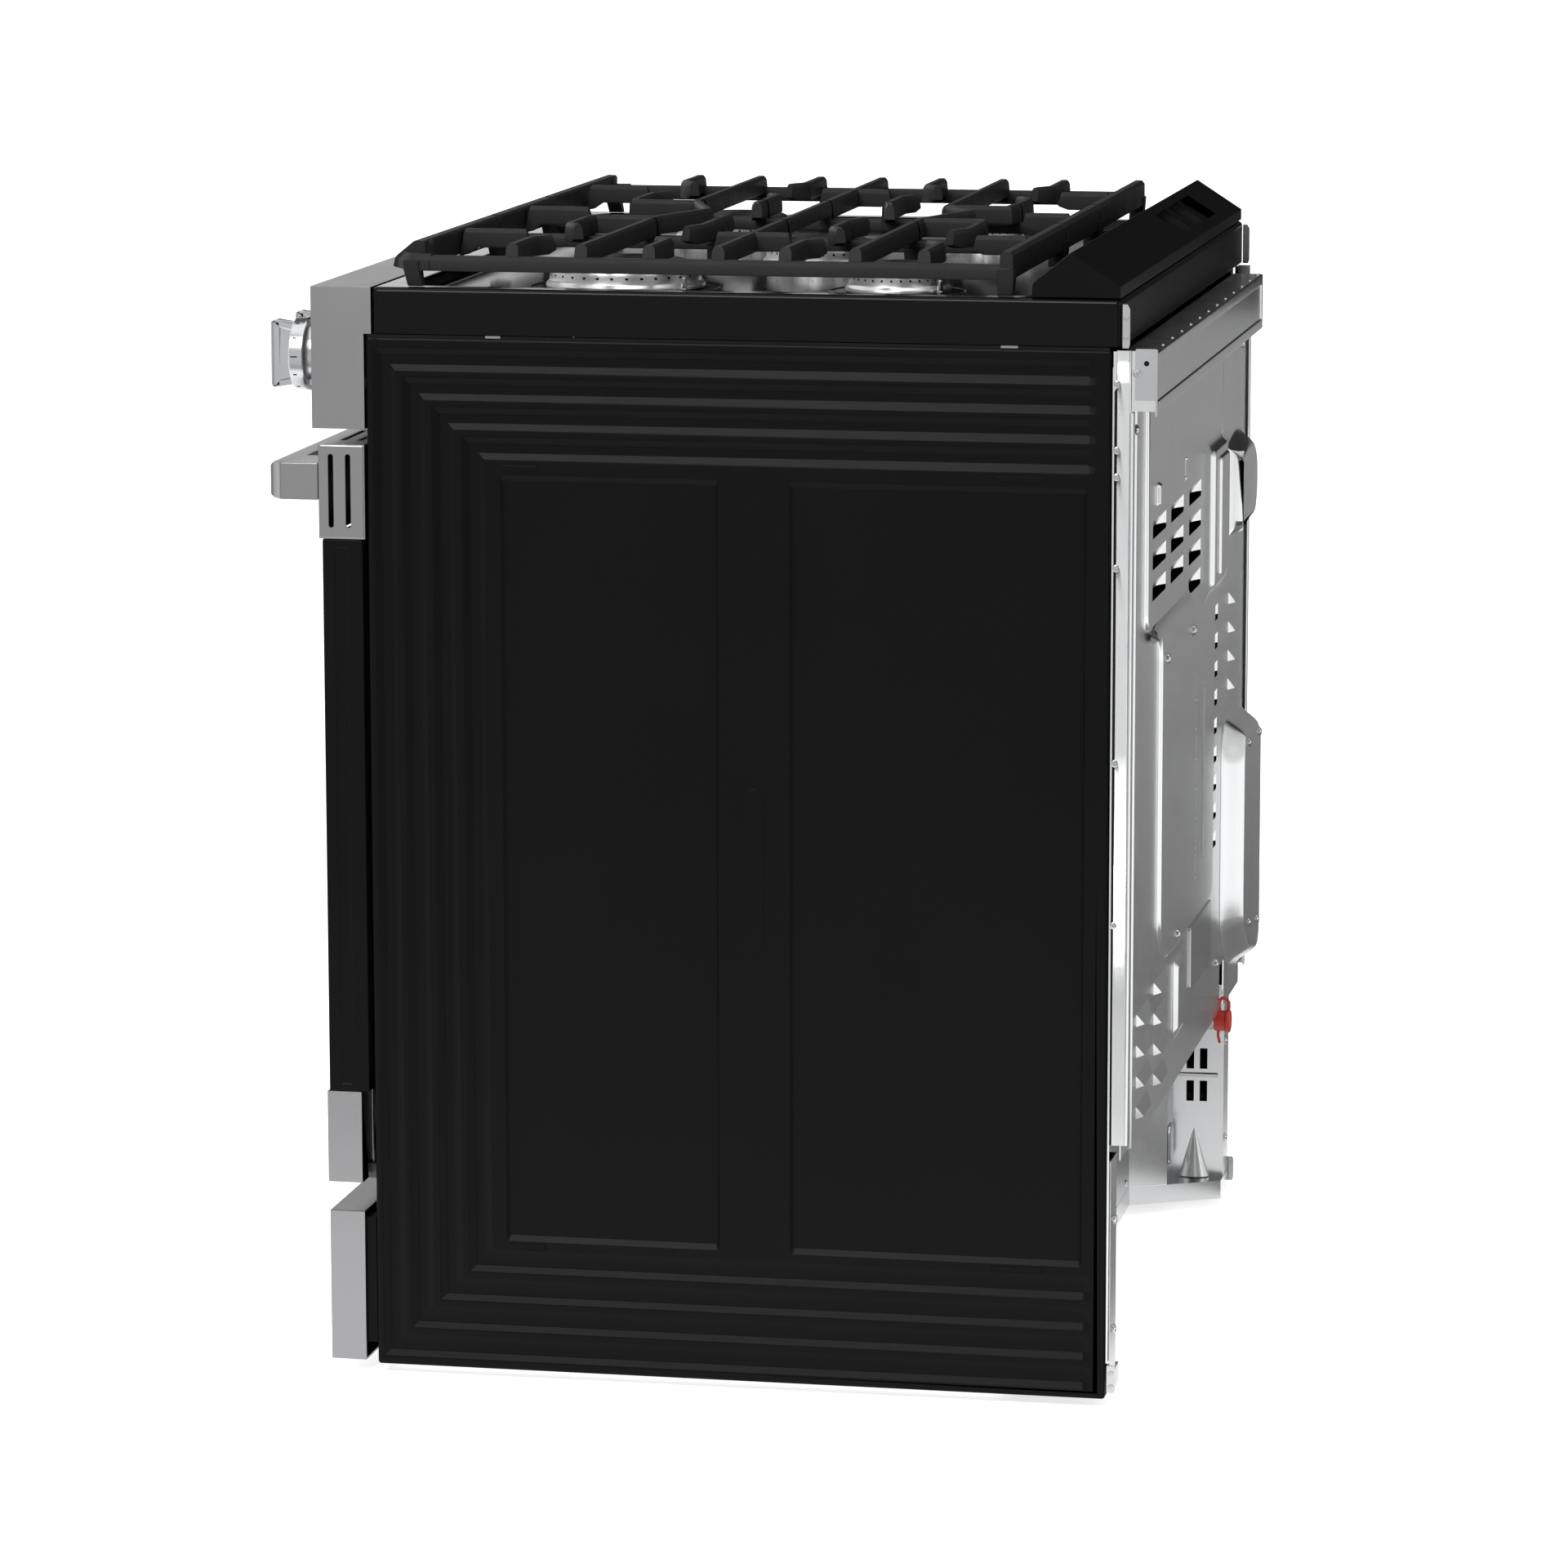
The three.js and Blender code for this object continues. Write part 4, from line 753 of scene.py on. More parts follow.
# ------------------------------------------------------------------ burners
def burner(key, x, y, r, cap):
    z = 881.3
    M = Mesh()
    n = 96
    prof = [(0.05, 0.0), (r + 2.6, 0.0), (r + 3, 0.4), (r + 3, 2.6), (r + 2.2, 3.6), (r + 0.6, 5.2), (r, 6.2)]
    lathe(M, prof, (x, y, z), "z", n, caps=False)
    # ported wall: every third facet is pushed in to make a port; the port's inside walls take the near-black material
    # as painted shade
    zs = (6.2, 9.2, 12.0, 14.6)
    for i in range(n):
        a0, a1 = 2 * math.pi * i / n, 2 * math.pi * (i + 1) / n
        for j in range(3):
            za, zb = zs[j], zs[j + 1]
            ra, rb = r - 0.25 * j, r - 0.25 * (j + 1)
            q = [(x + ra * math.cos(a0), y + ra * math.sin(a0), z + za), (x + ra * math.cos(a1), y + ra * math.sin(a1), z + za), (x + rb * math.cos(a1), y + rb * math.sin(a1), z + zb), (x + rb * math.cos(a0), y + rb * math.sin(a0), z + zb)]
            if j == 1 and i % 3 == 0:
                cx, cy, cz = [sum(p[k] for p in q) / 4 for k in range(3)]
                inner = [tuple(c + (p[k] - c) * 0.62 for k, c in enumerate((cx, cy, cz))) for p in q]
                am = (a0 + a1) / 2
                deep = [(p[0] - 5 * math.cos(am), p[1] - 5 * math.sin(am), p[2]) for p in inner]
                M.add(q + inner, [(0, 1, 5, 4), (1, 2, 6, 5), (2, 3, 7, 6), (3, 0, 4, 7)])
                M.add(inner + deep, [(0, 1, 5, 4), (1, 2, 6, 5), (2, 3, 7, 6), (3, 0, 4, 7), (4, 5, 6, 7)], 1)
            else:
                M.add(q, [(0, 1, 2, 3)])
    lathe(M, [(r - 0.75, 14.6), (r - 1.6, 15.6), (r - 3.4, 16.0), (r - 9, 16.0), (r - 10, 15.2), (0.05, 15.2)], (x, y, z), "z", n, caps=False)
    finish_mesh("burner_base_" + key + "_skin", M, [M_ALU, M_SHADE_AND_PRINT], "range_body", ("burner_base_" + key,), sharp=40, recalc=False)
    C = Mesh()
    loops = []
    prof = [(0.05, 0.2), (cap - 3, 0.2), (cap - 0.8, 0.5), (cap, 1.4), (cap + 0.0, 3.0), (cap - 1.2, 4.6), (cap - 4, 5.8), (cap - 9, 6.3), (cap * 0.5, 6.6), (0.05, 6.8)]
    n = 72
    for rr, a in prof:
        loops.append([(x + (rr - (0.9 if (k % 3 == 0 and rr > cap - 3.2 and a < 4) else 0)) * math.cos(2 * math.pi * k / n), y + (rr - (0.9 if (k % 3 == 0 and rr > cap - 3.2 and a < 4) else 0)) * math.sin(2 * math.pi * k / n), z + 16.3 + a) for k in range(n)])
    C.loft(loops)
    finish_mesh("burner_cap_" + key + "_skin", C, M_IRON, "cap_" + key, ("burner_cap_" + key,), sharp=40)
    # spark electrode and its ceramic sleeve beside the ring
    E = Mesh()
    ex, ey = x + (r + 8) * math.cos(0.95), y + (r + 8) * math.sin(0.95)
    lathe(E, [(3.2, 0), (3.2, 2.0), (2.3, 2.6), (2.1, 10.5), (1.6, 11.2), (0.9, 11.4), (0.8, 15.5), (0.02, 15.8)], (ex, ey, 881.2), "z", 16)
    finish_mesh("igniter_" + key, E, M_BRIGHT, "range_body", sharp=40)


for args in (("right_front", 228, -122, 62, 50), ("right_rear", 228, 103, 40, 34), ("centre", 0, -4, 46, 40), ("left_front", -228, -122, 52, 44), ("left_rear", -228, 103, 34, 28)):
    burner(*args)


# ------------------------------------------------------------------ grates: tapered cast bars
FY = (-184, -128, -73, -17, 37, 93, 148)
G0, G1, OUT, INN, JOINT = -283.0, 220.0, 366.0, 106.0, 98.0


def fin(z0=911.0, k=1.0):
    return [(-4.4 * k, z0), (-4.9 * k, z0 + 1.6), (-4.3 * k, 922.6), (-3.6 * k, 924.6), (-2.2 * k, 926.3), (2.2 * k, 926.3), (3.6 * k, 924.6), (4.3 * k, 922.6), (4.9 * k, z0 + 1.6), (4.4 * k, z0)]


def finger(M, pts, z0=911.0, root=True, tip=True):
    """A raised bar. Its root drops to the rail; a free tip is undercut and sloped."""
    P = [tuple(pts[0])]
    a, b = Vector(pts[0]), Vector(pts[1])
    L = (b - a).length
    if root and L > 20:
        d = (b - a) / L
        P += [tuple(a + d * 7), tuple(a + d * 15)]
    P += [tuple(p) for p in pts[1:]]
    nroot = 2 if (root and L > 20) else 0
    N = len(P)
    if tip:
        c, e = Vector(P[-2]), Vector(P[-1])
        d = e - c
        if d.length > 12:
            P.insert(N - 1, tuple(e - d.normalized() * 9))
            N += 1

    def sec(i):
        if nroot and i == 0:
            return [(x * 1.15, 904.5 if z < 911.5 + 0.1 and z == z0 else (906 if z == z0 + 1.6 else z)) for x, z in fin(z0)]
        if nroot and i == 1:
            return [(x * 1.05, 905.5 if z == z0 else (907 if z == z0 + 1.6 else z)) for x, z in fin(z0)]
        if tip and i == N - 1:
            return [(x * 0.85, z + 3.2 if z < 915 else z - 0.3) for x, z in fin(z0)]
        return fin(z0)
    sweep(M, P, sec, ends=(5.0 if root else 0.0, 3.0 if tip else 0.0))


RAIL = [(-5.6, 904.0), (-6.3, 905.6), (-6.2, 911.5), (-5.2, 914.6), (-3.4, 916.0), (3.4, 916.0), (5.2, 914.6), (6.2, 911.5), (6.3, 905.6), (5.6, 904.0)]
LOW = [(-4.0, 901.2), (-4.6, 902.4), (-4.4, 908.4), (-3.0, 910.6), (3.0, 910.6), (4.4, 908.4), (4.6, 902.4), (4.0, 901.2)]
FRONT = [(-284.6, 906.2), (-285.0 + 2.0, 904.8), (-261.5, 904.6), (-258.6, 906.4), (-258.2, 924.0), (-259.6, 926.0), (-266.4, 926.3), (-268.4, 925.2), (-281.4, 914.6), (-283.0, 912.4)]
BACK = [(208.8, 905.2), (210.0, 904.2), (218.4, 904.2), (219.6, 905.4), (219.4, 923.2), (217.0, 926.2), (211.4, 926.3), (209.2, 923.6)]


def leg(M, x, y, w=13.0, top=912.0, slant=0.0):
    loops = []
    for z, k, sh in ((top, 1.35, 0), (904, 1.1, 0.15), (897, 0.86, 0.6), (893, 0.82, 0.9), (891.6, 0.7, 1.0)):
        hw, hd = w / 2 * k, 6.5 * (0.9 + 0.1 * k)
        loops.append([(x + u, y + v + slant * sh, z) for u, v in rrect(-hw, hw, -hd, hd, 1.6, 2)])
    M.loft(loops, cap0=True, cap1=True)


def grate_side(s):
    M = Mesh()
    X = lambda x: s * x
    sweep(M, [(X(OUT), G0 + 22), (X(OUT), G1 - 3)], RAIL)
    sweep(M, [(X(INN), G0 + 14), (X(INN), G1 - 6)], LOW)
    a, b = sorted((X(JOINT + 3.4), X(OUT - 14)))
    prism(M, [(y, z) for y, z in FRONT], "x", a, b)
    # corner: sloped web from the front bar to the outer rail, leaving the triangular window
    gus = [(-7.2, 904.4), (-7.8, 906), (-7.4, 912.0), (-3.0, 917.2), (3.0, 917.2), (7.4, 912.0), (7.8, 906), (7.2, 904.4)]
    sweep(M, [(X(OUT - 34), G0 + 9), (X(OUT - 14), G0 + 10.5), (X(OUT - 2), G0 + 20), (X(OUT), G0 + 34)], gus)
    sweep(M, [(X(OUT - 34), G0 + 23), (X(OUT - 20), G0 + 21), (X(OUT - 10), G0 + 16)], lambda i: [(x * (1, 0.9, 0.75)[i], min(z, (926.3, 921.0, 914.0)[i])) for x, z in fin(906)])
    a, b = sorted((X(JOINT + 3.4), X(OUT + 5.5)))
    prism(M, [(y, z) for y, z in BACK], "x", a, b)
    J = JOINT + 3.6
    R = OUT + 3
    finger(M, [(X(R), FY[0]), (X(300), FY[0]), (X(278), FY[0] + 13)])
    finger(M, [(X(R), FY[1]), (X(J), FY[1])], tip=False)
    finger(M, [(X(R), FY[2]), (X(292), FY[2]), (X(274), FY[2] - 13)])
    finger(M, [(X(R), FY[3]), (X(J), FY[3])], tip=False)
    finger(M, [(X(R), FY[4]), (X(292), FY[4]), (X(271), FY[4] + 13)])
    finger(M, [(X(R), FY[5]), (X(J), FY[5])], tip=False)
    finger(M, [(X(R), FY[6]), (X(292), FY[6]), (X(269), FY[6] - 13)])
    finger(M, [(X(231), G0 + 24), (X(231), -201)])
    finger(M, [(X(228), -19), (X(228), -48)], root=False)
    finger(M, [(X(228), -15), (X(228), 16)], root=False)
    finger(M, [(X(226), G1 - 8), (X(226), 164)])
    for y, dy in ((FY[0], 12), (FY[2], -10), (FY[4], 10), (FY[6], -12)):
        finger(M, [(X(J), y), (X(158), y), (X(180), y + dy)], root=False)
    for y in FY:
        w = [(-4.2, 903), (-4.6, 905), (-4.0, 922.0), (-2.4, 925.6), (2.4, 925.6), (4.0, 922.0), (4.6, 905), (4.2, 903)]
        sweep(M, [(X(J), y), (X(INN + 5), y)], w, ends=(0, 0))
    for x, y, sl in ((OUT, -262, 3.0), (OUT, 213, -1.0), (INN, -258, 2.0), (INN, 213, -1.0)):
        leg(M, X(x), y - sl, slant=sl)
    for y in (-73, 93):
        leg(M, X(INN), y, 9.0, 906)
    name = "grate_right" if s > 0 else "grate_left"
    finish_mesh(name + "_skin", M, M_IRON, name + "_body", (name,), sharp=34, bevel=None)


def grate_centre():
    M = Mesh()
    e, j = JOINT - 8, JOINT - 3.4
    for s in (1, -1):
        sweep(M, [(s * e, G0 + 14), (s * e, G1 - 6)], LOW)
        for y in FY:
            w = [(-4.2, 903), (-4.6, 905), (-4.0, 922.0), (-2.4, 925.6), (2.4, 925.6), (4.0, 922.0), (4.6, 905), (4.2, 903)]
            sweep(M, [(s * j, y), (s * (e - 5), y)], w)
        for y, sl in ((-258, 2.0), (213, -1.0)):
            leg(M, s * e, y - sl, slant=sl)
        finger(M, [(s * j, FY[1]), (s * 82, FY[1]), (s * 82, -181), (s * j, -184)], root=False, tip=False)
        finger(M, [(s * j, FY[5]), (s * 67, FY[5]), (s * 67, 145), (s * j, 148)], root=False, tip=False)
        finger(M, [(s * j, FY[2]), (s * 74, -74), (s * 56, -70)], root=False)
        finger(M, [(s * j, FY[4]), (s * 74, 42), (s * 56, 45)], root=False)
    prism(M, [(y, z) for y, z in FRONT], "x", -j, j)
    prism(M, [(y, z) for y, z in BACK], "x", -j, j)
    finger(M, [(-j, FY[3]), (j, FY[3])], 914, root=False, tip=False)
    finger(M, [(3, G0 + 24), (3, -201)])
    finger(M, [(-82, -128), (0, -101), (82, -128)], root=False, tip=False)
    finger(M, [(-67, 93), (-20, 120), (67, 93)], root=False, tip=False)
    finger(M, [(0, G1 - 8), (0, 168)])
    finish_mesh("grate_centre_skin", M, M_IRON, "grate_centre_body", ("grate_centre",), sharp=34)


grate_side(1)
grate_side(-1)
grate_centre()


# ------------------------------------------------------------------ control panel, knobs
detail("control_panel", M_STEEL, bevel=1.1)
detail("gas_manifold", M_BRASS, bevel=0.8)


def controls():
    R = Mesh()
    for x in (330, 255, 0, -255, -330):
        lathe(R, [(34.5, 0.1), (34.3, -0.7), (33.6, -1.3), (32.2, -1.5), (31.2, -1.2), (30.9, 0.1)], (x, -346.6, 832), "y", 64, caps=False)
    finish_mesh("knob_bezels", R, M_BRIGHT, "range_body", sharp=40)
    T = Mesh()
    for x in (330, 255, 0, -255, -330):
        for k in range(9):
            a = math.radians(-130 + k * 32.5)
            c, sn = math.sin(a), math.cos(a)
            r0, r1, w = 37.5, 40.5 if k % 4 else 42.0, 0.5
            v = [(x + c * r0 + sn * w, 832 + sn * r0 - c * w), (x + c * r1 + sn * w, 832 + sn * r1 - c * w), (x + c * r1 - sn * w, 832 + sn * r1 + c * w), (x + c * r0 - sn * w, 832 + sn * r0 + c * w)]
            T.loft([[(p[0], -346.4, p[1]) for p in v], [(p[0], -346.75, p[1]) for p in v]], cap0=True, cap1=True)
    finish_mesh("knob_scale_marks", T, M_MARK, "range_body", sharp=40)
    # smoked glass control strip with plain touch marks, each side of the middle knob
    for tag, xa, xb in (("right", 62, 196), ("left", -196, -62)):
        Gm = Mesh()
        loops = []
        for d, y in ((0, -346.4), (0, -347.6), (0.5, -348.1), (1.4, -348.3)):
            loops.append([(u, y, v) for u, v in rrect(xa + d, xb - d, 806 + d, 858 - d, 5.0, 5)])
        Gm.loft(loops, cap0=True, cap1=True)
        finish_mesh("control_glass_" + tag, Gm, M_GLASS, "range_body", sharp=40)
        D = Mesh()
        for i in range(6):
            for jz in (0, 1):
                lathe(D, [(2.1, 0), (2.1, -0.15), (1.5, -0.2), (0.02, -0.2)], (xa + 17 + i * 20, -348.25, 820 + jz * 24), "y", 20)
        finish_mesh("touch_marks_" + tag, D, M_STEEL, "range_body", sharp=40)


controls()


def knob(i, x):
    M = Mesh()
    z, back = 832.0, -349.6
    # neck, flared dial band and domed front
    prof = [(4.6, -0.1), (23.0, 0), (24.4, -0.6), (24.8, -6.0), (26.2, -8.2), (29.0, -9.0), (29.6, -9.8), (29.7, -11.0), (29.2, -20.4), (28.4, -21.4), (26.4, -21.9), (24.0, -21.6), (22.8, -20.8), (0.05, -20.6)]
    lathe(M, prof, (x, back, z), "y", 72, caps=False)
    # blade grip with a framed recess on each flank
    y0, y1, zt, w = -391.3, -368.5, 28.4, 7.6
    for s in (1, -1):
        frame_ring = [(u, v) for u, v in [(y0 + 2.2, z - zt + 1.2), (y1, z - zt + 4.6), (y1, z + zt - 4.6), (y0 + 2.2, z + zt - 1.2)]]
        outer = round_poly(frame_ring, 1.6, 3)
        inner0 = inset(outer, 4.8)
        inner0 = [(max(min(a, y1 - 2.0), y0 + 7), b) for a, b in inner0]
        inner1 = inset(outer, 6.2)
        inner1 = [(max(min(a, y1 - 3.0), y0 + 8.4), b) for a, b in inner1]
        side = [(x + s * (w - 1.4), a, b) for a, b in round_poly([(y0, z - zt + 1.6), (y1 + 2, z - zt + 4.2), (y1 + 2, z + zt - 4.2), (y0, z + zt - 1.6)], 2.2, 3)]
        M.loft([[(x, a, b) for _, a, b in side], side, [(x + s * w, a, b) for a, b in outer], [(x + s * w, a, b) for a, b in inner0], [(x + s * (w - 0.9), a, b) for a, b in inner1]], cap1=True)
    finish_mesh("knob_%d_skin" % i, M, M_BRIGHT, "knob_%d_body" % i, ("knob_%d" % i,), sharp=34)
    T = Mesh()
    for k in range(12):
        a = math.radians(k * 30)
        c, sn = math.cos(a), math.sin(a)
        ln = 5.4 if k % 3 == 0 else 3.0
        v = []
        for dy in (-16.6 - ln / 2, -16.6 + ln / 2):
            for da in (-0.018, 0.018):
                v.append((x + 29.62 * math.cos(a + da), back + dy, z + 29.62 * math.sin(a + da)))
        v2 = [(x + (p[0] - x) * 0.985, p[1], z + (p[2] - z) * 0.985) for p in v]
        T.add(v + v2, [(0, 1, 3, 2), (4, 6, 7, 5), (0, 2, 6, 4), (1, 5, 7, 3), (0, 4, 5, 1), (2, 3, 7, 6)])
    finish_mesh("knob_%d_marks" % i, T, M_MARK, "knob_%d_body" % i, sharp=40)
    detail("valve_stem_%d" % i, M_BRIGHT, bevel=0.4)


for i, x in enumerate((330, 255, 0, -255, -330), 1):
    knob(i, x)


# ------------------------------------------------------------------ oven door, handle, drawer
detail("door_frame", M_BLACK, bevel=0.8)
detail("door_glass_outer", M_GLASS, bevel=0.5)
detail("door_glass_inner", M_GLASS, bevel=0.5)
detail("door_inner_panel", M_OVEN, bevel=0.8)
detail("door_gasket", M_RUBBER, bevel=2.0)
detail("door_top_trim", M_STEEL, bevel=1.4)
detail("door_bottom_trim", M_STEEL, bevel=1.4)
detail("door_handle", M_STEEL, bevel=2.6, angle=20)
detail("hinge_arm_right", M_ZINC, bevel=0.4)
detail("hinge_arm_left", M_ZINC, bevel=0.4)
detail("drawer_front", M_STEEL, bevel=1.4)
detail("drawer_box", M_BLACK, bevel=0.4)


def door_sides():
    M = Mesh()
    for s in (1, -1):
        S = Sheet(M, lambda u, v, h, s=s: (s * (378.0 + h), u, v))
        h1 = S.recess_box(-330.5, -318.5, 240.5, 682, 2.0, 0, -0.95, 1.6)
        S.flat(rrect(-338.7, -306.8, 236.1, 686.9, 0.8, 2), [h1], 0)
        M.loft([[(s * (378.0 + h), u, v) for u, v in rrect(-338.7 - d, -306.8 + d, 236.1 - d, 686.9 + d, 0.8 + d, 2)] for d, h in ((0, 0), (0.5, -0.2), (0.7, -0.9))])
    finish_mesh("door_side_skins", M, M_BLACK, "door", sharp=40, recalc=False)
    T = Mesh()
    for s in (1, -1):
        S = Sheet(T, lambda u, v, h, s=s: (s * (378.85 + h), u, v))
        hs = [rrect(c - 2.2, c + 2.2, 697.2, 756.8, 2.2, 5) for c in (-331.5, -317.3)]
        S.flat(rrect(-340.4, -305.1, 689.7, 762.9, 1.0, 3), hs, 0)
        T.loft([[(s * (378.85 + h), u, v) for u, v in rrect(-340.4 - d, -305.1 + d, 689.7 - d, 762.9 + d, 1.0 + d, 3)] for d, h in ((0, 0), (0.6, -0.15), (0.9, -0.5))])
        for hole in hs:
            T.loft([[(s * 378.85, u, v) for u, v in hole], [(s * 377.2, u, v) for u, v in hole]])
    finish_mesh("door_trim_ends", T, M_STEEL, "door", sharp=40, recalc=False)
    W = Mesh()
    # printed dot border behind the outer glass around the window, as a raised dark frame on the inner pane
    loops = []
    for d, y in ((0, -332.9), (0, -332.2), (26, -332.2), (26, -332.9)):
        loops.append([(u, y, v) for u, v in rrect(-276 + d, 276 - d, 300 + d, 628 - d, 10, 5)])
    W.loft(loops + [loops[0]])
    finish_mesh("window_mask", W, M_SHADE_AND_PRINT, "door", sharp=40)


door_sides()


# ------------------------------------------------------------------ oven interior, racks, base
detail("oven_cavity", M_OVEN, bevel=0.5)
detail("oven_floor", M_OVEN, bevel=0.8)
detail("bake_burner", M_ALU, bevel=2.0)
detail("broil_burner", M_ALU, bevel=2.0)
detail("base_frame", M_ZINC, bevel=0.5)
for k in ("right_front", "left_front", "right_rear", "left_rear"):
    detail("levelling_leg_" + k, M_BLACK, bevel=0.7)


def rack(name, body, z):
    M = Mesh()
    for x in (-286, 286):
        tube(M, [(x, -270, z + 3.6), (x, 204, z + 3.6)], 2.9, 12)
    for y in (-269, 203):
        tube(M, [(-287, y, z + 3.6), (287, y, z + 3.6)], 2.9, 12)
    for y in (-110, 50):
        tube(M, [(-286, y, z + 3.1), (286, y, z + 3.1)], 2.2, 10)
    for i in range(27):
        x = -260 + i * 20
        tube(M, [(x, -268, z + 7.2), (x, 202, z + 7.2)], 1.9, 8)
    finish_mesh(name + "_skin", M, M_WIRE, body, (name,), sharp=50)


rack("oven_rack_upper", "rack_upper", 404)
rack("oven_rack_lower", "rack_lower", 334)


# ------------------------------------------------------------------ anything carried over still gets its finish
for n, o in frame["nodes"].items():
    for sl in o.material_slots:
        name = sl.material.name if sl.material else ""
        for k, m in SLOT_MATS.items():
            if name.startswith(k):
                sl.material = m


# ------------------------------------------------------------------ floor, light, camera
def stage_box():
    me = bpy.data.meshes.new("floor")
    me.from_pydata([(-14, -14, 0), (1.1, -14, 0), (1.1, 14, 0), (-14, 14, 0)], [], [(0, 1, 2, 3)])
    o = bpy.data.objects.new("floor", me)
    scene.collection.objects.link(o)
    fl = material("floor", (0.86, 0.86, 0.86), 0.8, spec=0.1, vary=0.01, vary_scale=2, bump=0.02, bump_scale=60)
    lit = next(n for n in fl.node_tree.nodes if n.type == "BSDF_PRINCIPLED")
    lit.inputs["Emission Color"].default_value = (1, 1, 1, 1)
    lit.inputs["Emission Strength"].default_value = 0.72
    me.materials.append(fl)


stage_box()


def reflector():
    """Grey and black studio cards standing to the left of the rear, seen only in reflections."""
    me = bpy.data.meshes.new("card")
    x, y0, y1 = -1.1, 0.37, 1.2
    pts = [(x, y0, 0.003), (x, y1, 0.003), (x, y1, 0.74), (x, y0, 0.74), (0.42, y0, 0.003), (0.42, y1, 0.003), (x, y1, 1.5), (x, y0, 1.5)]
    me.from_pydata(pts, [], [(0, 1, 2, 3), (4, 5, 1, 0), (3, 2, 6, 7)])
    o = bpy.data.objects.new("card", me)
    scene.collection.objects.link(o)
    me.materials.append(material("card", (0.27, 0.27, 0.27), 0.9, spec=0.05, vary=0.02, vary_scale=3, bump=0.02, bump_scale=60))
    me.materials.append(material("dark_card", (0.02, 0.02, 0.02), 0.9, spec=0.02, vary=0.02, vary_scale=3, bump=0.02, bump_scale=60))
    me.polygons[2].material_index = 1
    o.visible_camera = False
    o.visible_shadow = False


reflector()

world = bpy.data.worlds.new("studio")
scene.world = world
world.use_nodes = True
wn = world.node_tree
wn.nodes.clear()
wout = wn.nodes.new("ShaderNodeOutputWorld")
wtc = wn.nodes.new("ShaderNodeTexCoord")
wsep = wn.nodes.new("ShaderNodeSeparateXYZ")
wn.links.new(wtc.outputs["Generated"], wsep.inputs[0])


def wmap(src, f0, f1, t0, t1):
    n = wn.nodes.new("ShaderNodeMapRange")
    n.interpolation_type = "SMOOTHSTEP"
    n.inputs["From Min"].default_value, n.inputs["From Max"].default_value = f0, f1
    n.inputs["To Min"].default_value, n.inputs["To Max"].default_value = t0, t1
    wn.links.new(src, n.inputs["Value"])
    return n.outputs[0]


def wmath(op, a, b):
    n = wn.nodes.new("ShaderNodeMath")
    n.operation = op
    for k, v in enumerate((a, b)):
        if isinstance(v, (int, float)):
            n.inputs[k].default_value = v
        else:
            wn.links.new(v, n.inputs[k])
    return n.outputs[0]


# a soft white panel on the right, another low on the left, dim elsewhere
def lobe(centre, inner, outer):
    """1 within the inner angle of a direction, 0 beyond the outer one (cosines)."""
    n = wn.nodes.new("ShaderNodeVectorMath")
    n.operation = "DOT_PRODUCT"
    d = Vector(centre).normalized()
    n.inputs[1].default_value = tuple(d)
    wn.links.new(wtc.outputs["Generated"], n.inputs[0])
    return wmap(n.outputs["Value"], math.cos(math.radians(outer)), math.cos(math.radians(inner)), 0.0, 1.0)


above = wmap(wsep.outputs["Z"], 0.1, 0.7, 1.0, 0.35)
level = wmath("MULTIPLY", 0.30, above)
level = wmath("MULTIPLY", level, wmath("SUBTRACT", 1.0, wmath("MULTIPLY", lobe((-1.0, 0.30, 0.2), 20, 36), 0.93)))
level = wmath("ADD", level, wmath("MULTIPLY", lobe((0.966, -0.19, -0.17), 20, 34), 0.75))
level = wmath("ADD", level, wmath("MULTIPLY", lobe((-0.9, -0.42, 0.1), 10, 20), 0.9))
level = wmath("ADD", level, wmath("MULTIPLY", lobe((-0.2, -1.0, 0.1), 25, 60), 1.2))
level = wmath("ADD", level, wmath("MULTIPLY", lobe((0.1, 1.0, 0.1), 30, 55), 0.7))
lp = wn.nodes.new("ShaderNodeLightPath")
bg_light = wn.nodes.new("ShaderNodeBackground")
bg_light.inputs["Color"].default_value = (1, 1, 1, 1)
wn.links.new(level, bg_light.inputs["Strength"])
bg_cam = wn.nodes.new("ShaderNodeBackground")
bg_cam.inputs["Color"].default_value = (1, 1, 1, 1)
bg_cam.inputs["Strength"].default_value = 1.0
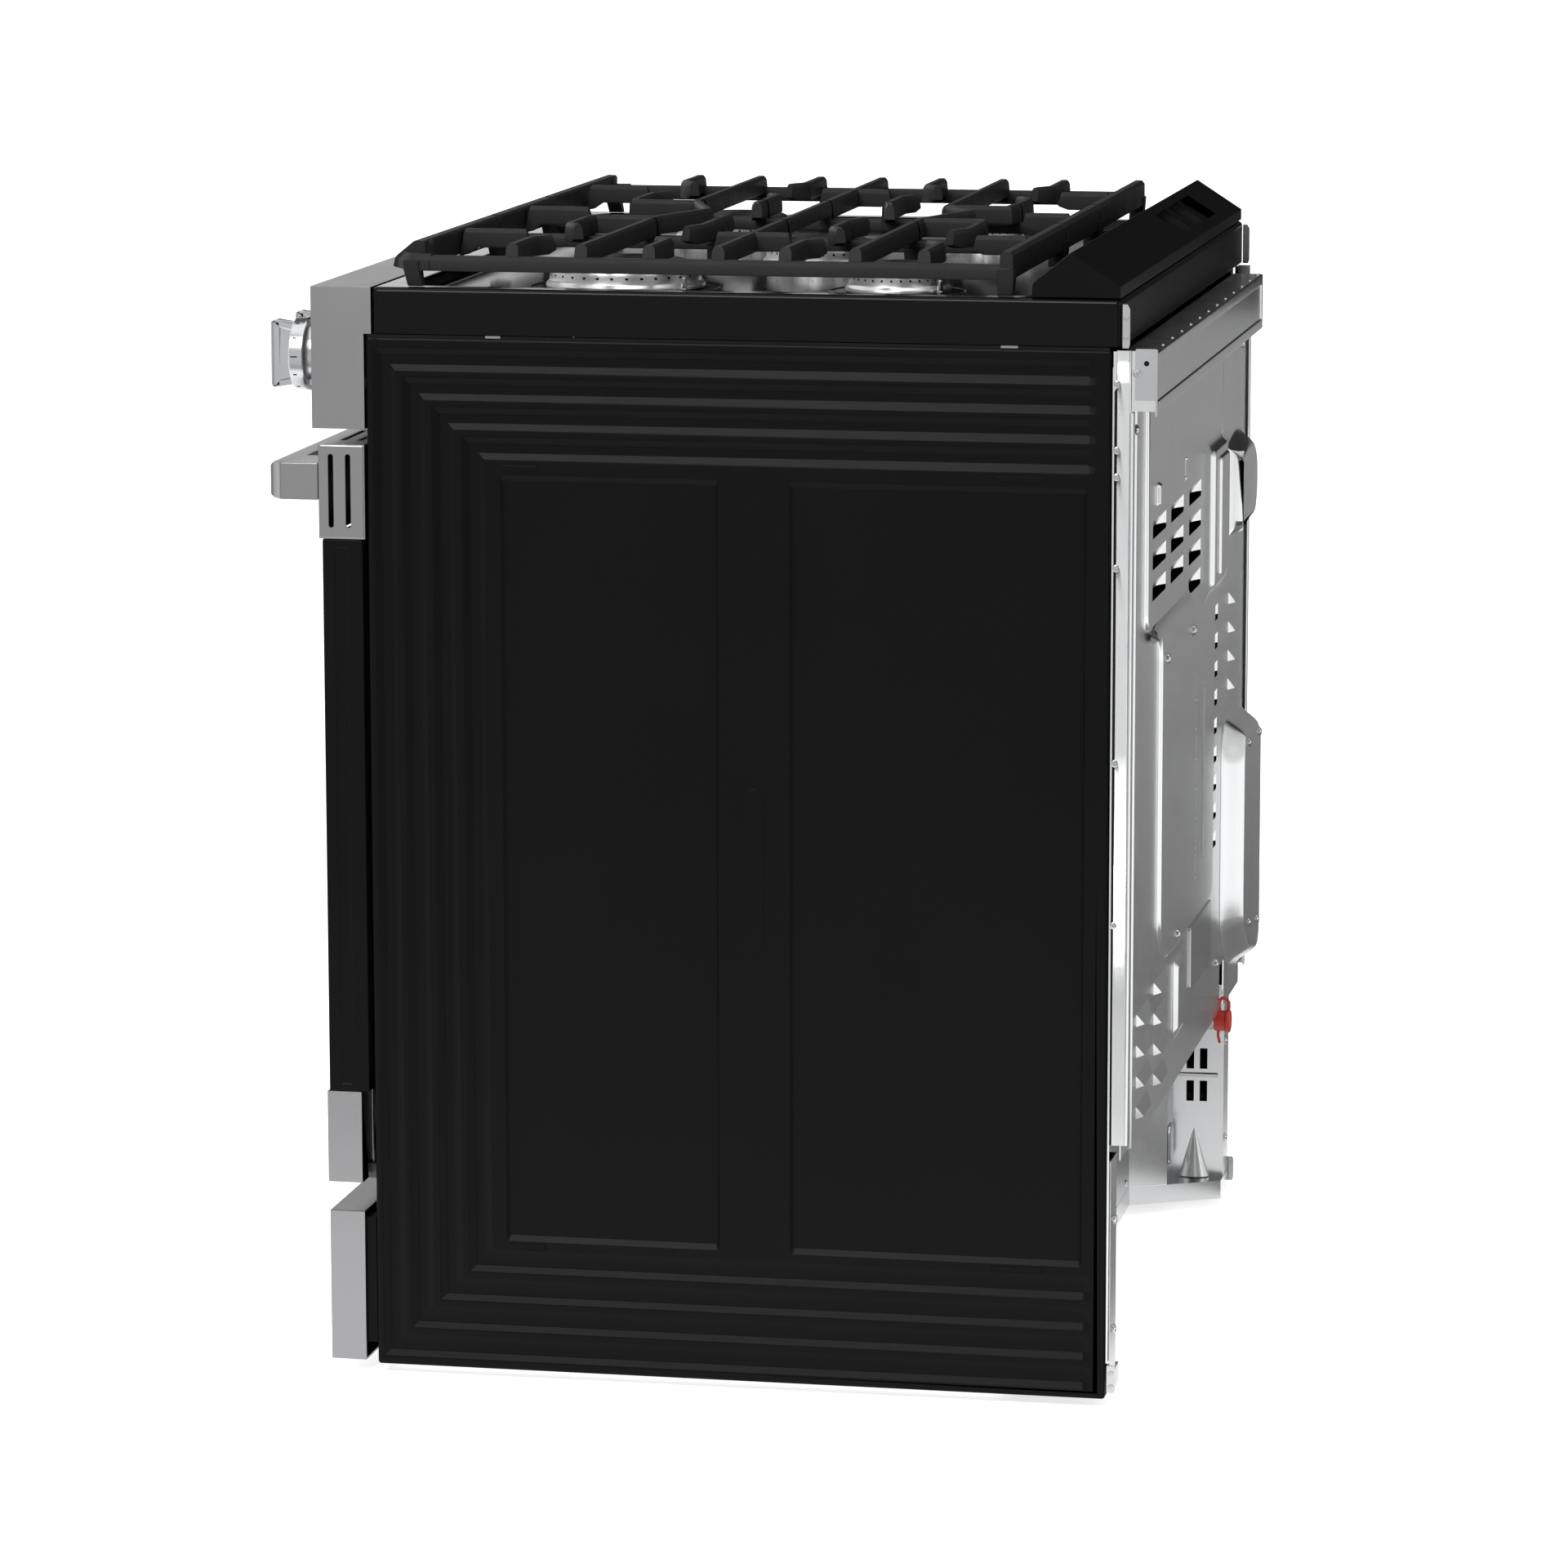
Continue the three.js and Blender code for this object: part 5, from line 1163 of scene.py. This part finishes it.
mix = wn.nodes.new("ShaderNodeMixShader")
wn.links.new(lp.outputs["Is Camera Ray"], mix.inputs[0])
wn.links.new(bg_light.outputs[0], mix.inputs[1])
wn.links.new(bg_cam.outputs[0], mix.inputs[2])
wn.links.new(mix.outputs[0], wout.inputs[0])


def area(name, loc, target, size, power, size_y=None):
    l = bpy.data.lights.new(name, "AREA")
    l.energy, l.size = power, size
    if size_y:
        l.shape, l.size_y = "RECTANGLE", size_y
    o = bpy.data.objects.new(name, l)
    o.location = loc
    o.rotation_mode = "QUATERNION"
    o.rotation_quaternion = (Vector(target) - Vector(loc)).to_track_quat("-Z", "Y")
    scene.collection.objects.link(o)
    return o


area("key", (3.4, -0.9, 3.4), (0, 0, 0.5), 2.0, 175)
area("rear_key", (3.0, 4.4, 2.4), (0, 0.3, 0.5), 1.6, 40)
wash = bpy.data.lights.new("wash", "SUN")
wash.energy, wash.angle = 1.5, math.radians(60)
wash_o = bpy.data.objects.new("wash", wash)
wash_o.location = (0, 0, 5)
scene.collection.objects.link(wash_o)

scene.view_settings.view_transform = "Standard"
scene.view_settings.look = "None"
scene.view_settings.exposure = 0.0
scene.view_settings.gamma = 1.0

cam_data = bpy.data.cameras.new("camera")
cam_data.sensor_width = 36.0
cam_data.lens = 7883.9 / 1920 * 36.0
cam = bpy.data.objects.new("camera", cam_data)
scene.collection.objects.link(cam)
cam.location = (5.33523, 1.01315 + 0.02825, 1.36712)
yaw, pitch, roll = 0.194232, 0.169913, -0.001368
fw = Vector((-math.cos(pitch) * math.cos(yaw), -math.cos(pitch) * math.sin(yaw), -math.sin(pitch)))
rt = fw.cross(Vector((0, 0, 1))).normalized()
up = rt.cross(fw)
r2 = rt * math.cos(roll) + up * math.sin(roll)
u2 = up * math.cos(roll) - rt * math.sin(roll)
cam.rotation_mode = "QUATERNION"
cam.rotation_quaternion = Matrix((r2, u2, -fw)).transposed().to_quaternion()
cam_data.clip_start, cam_data.clip_end = 0.05, 60
scene.camera = cam
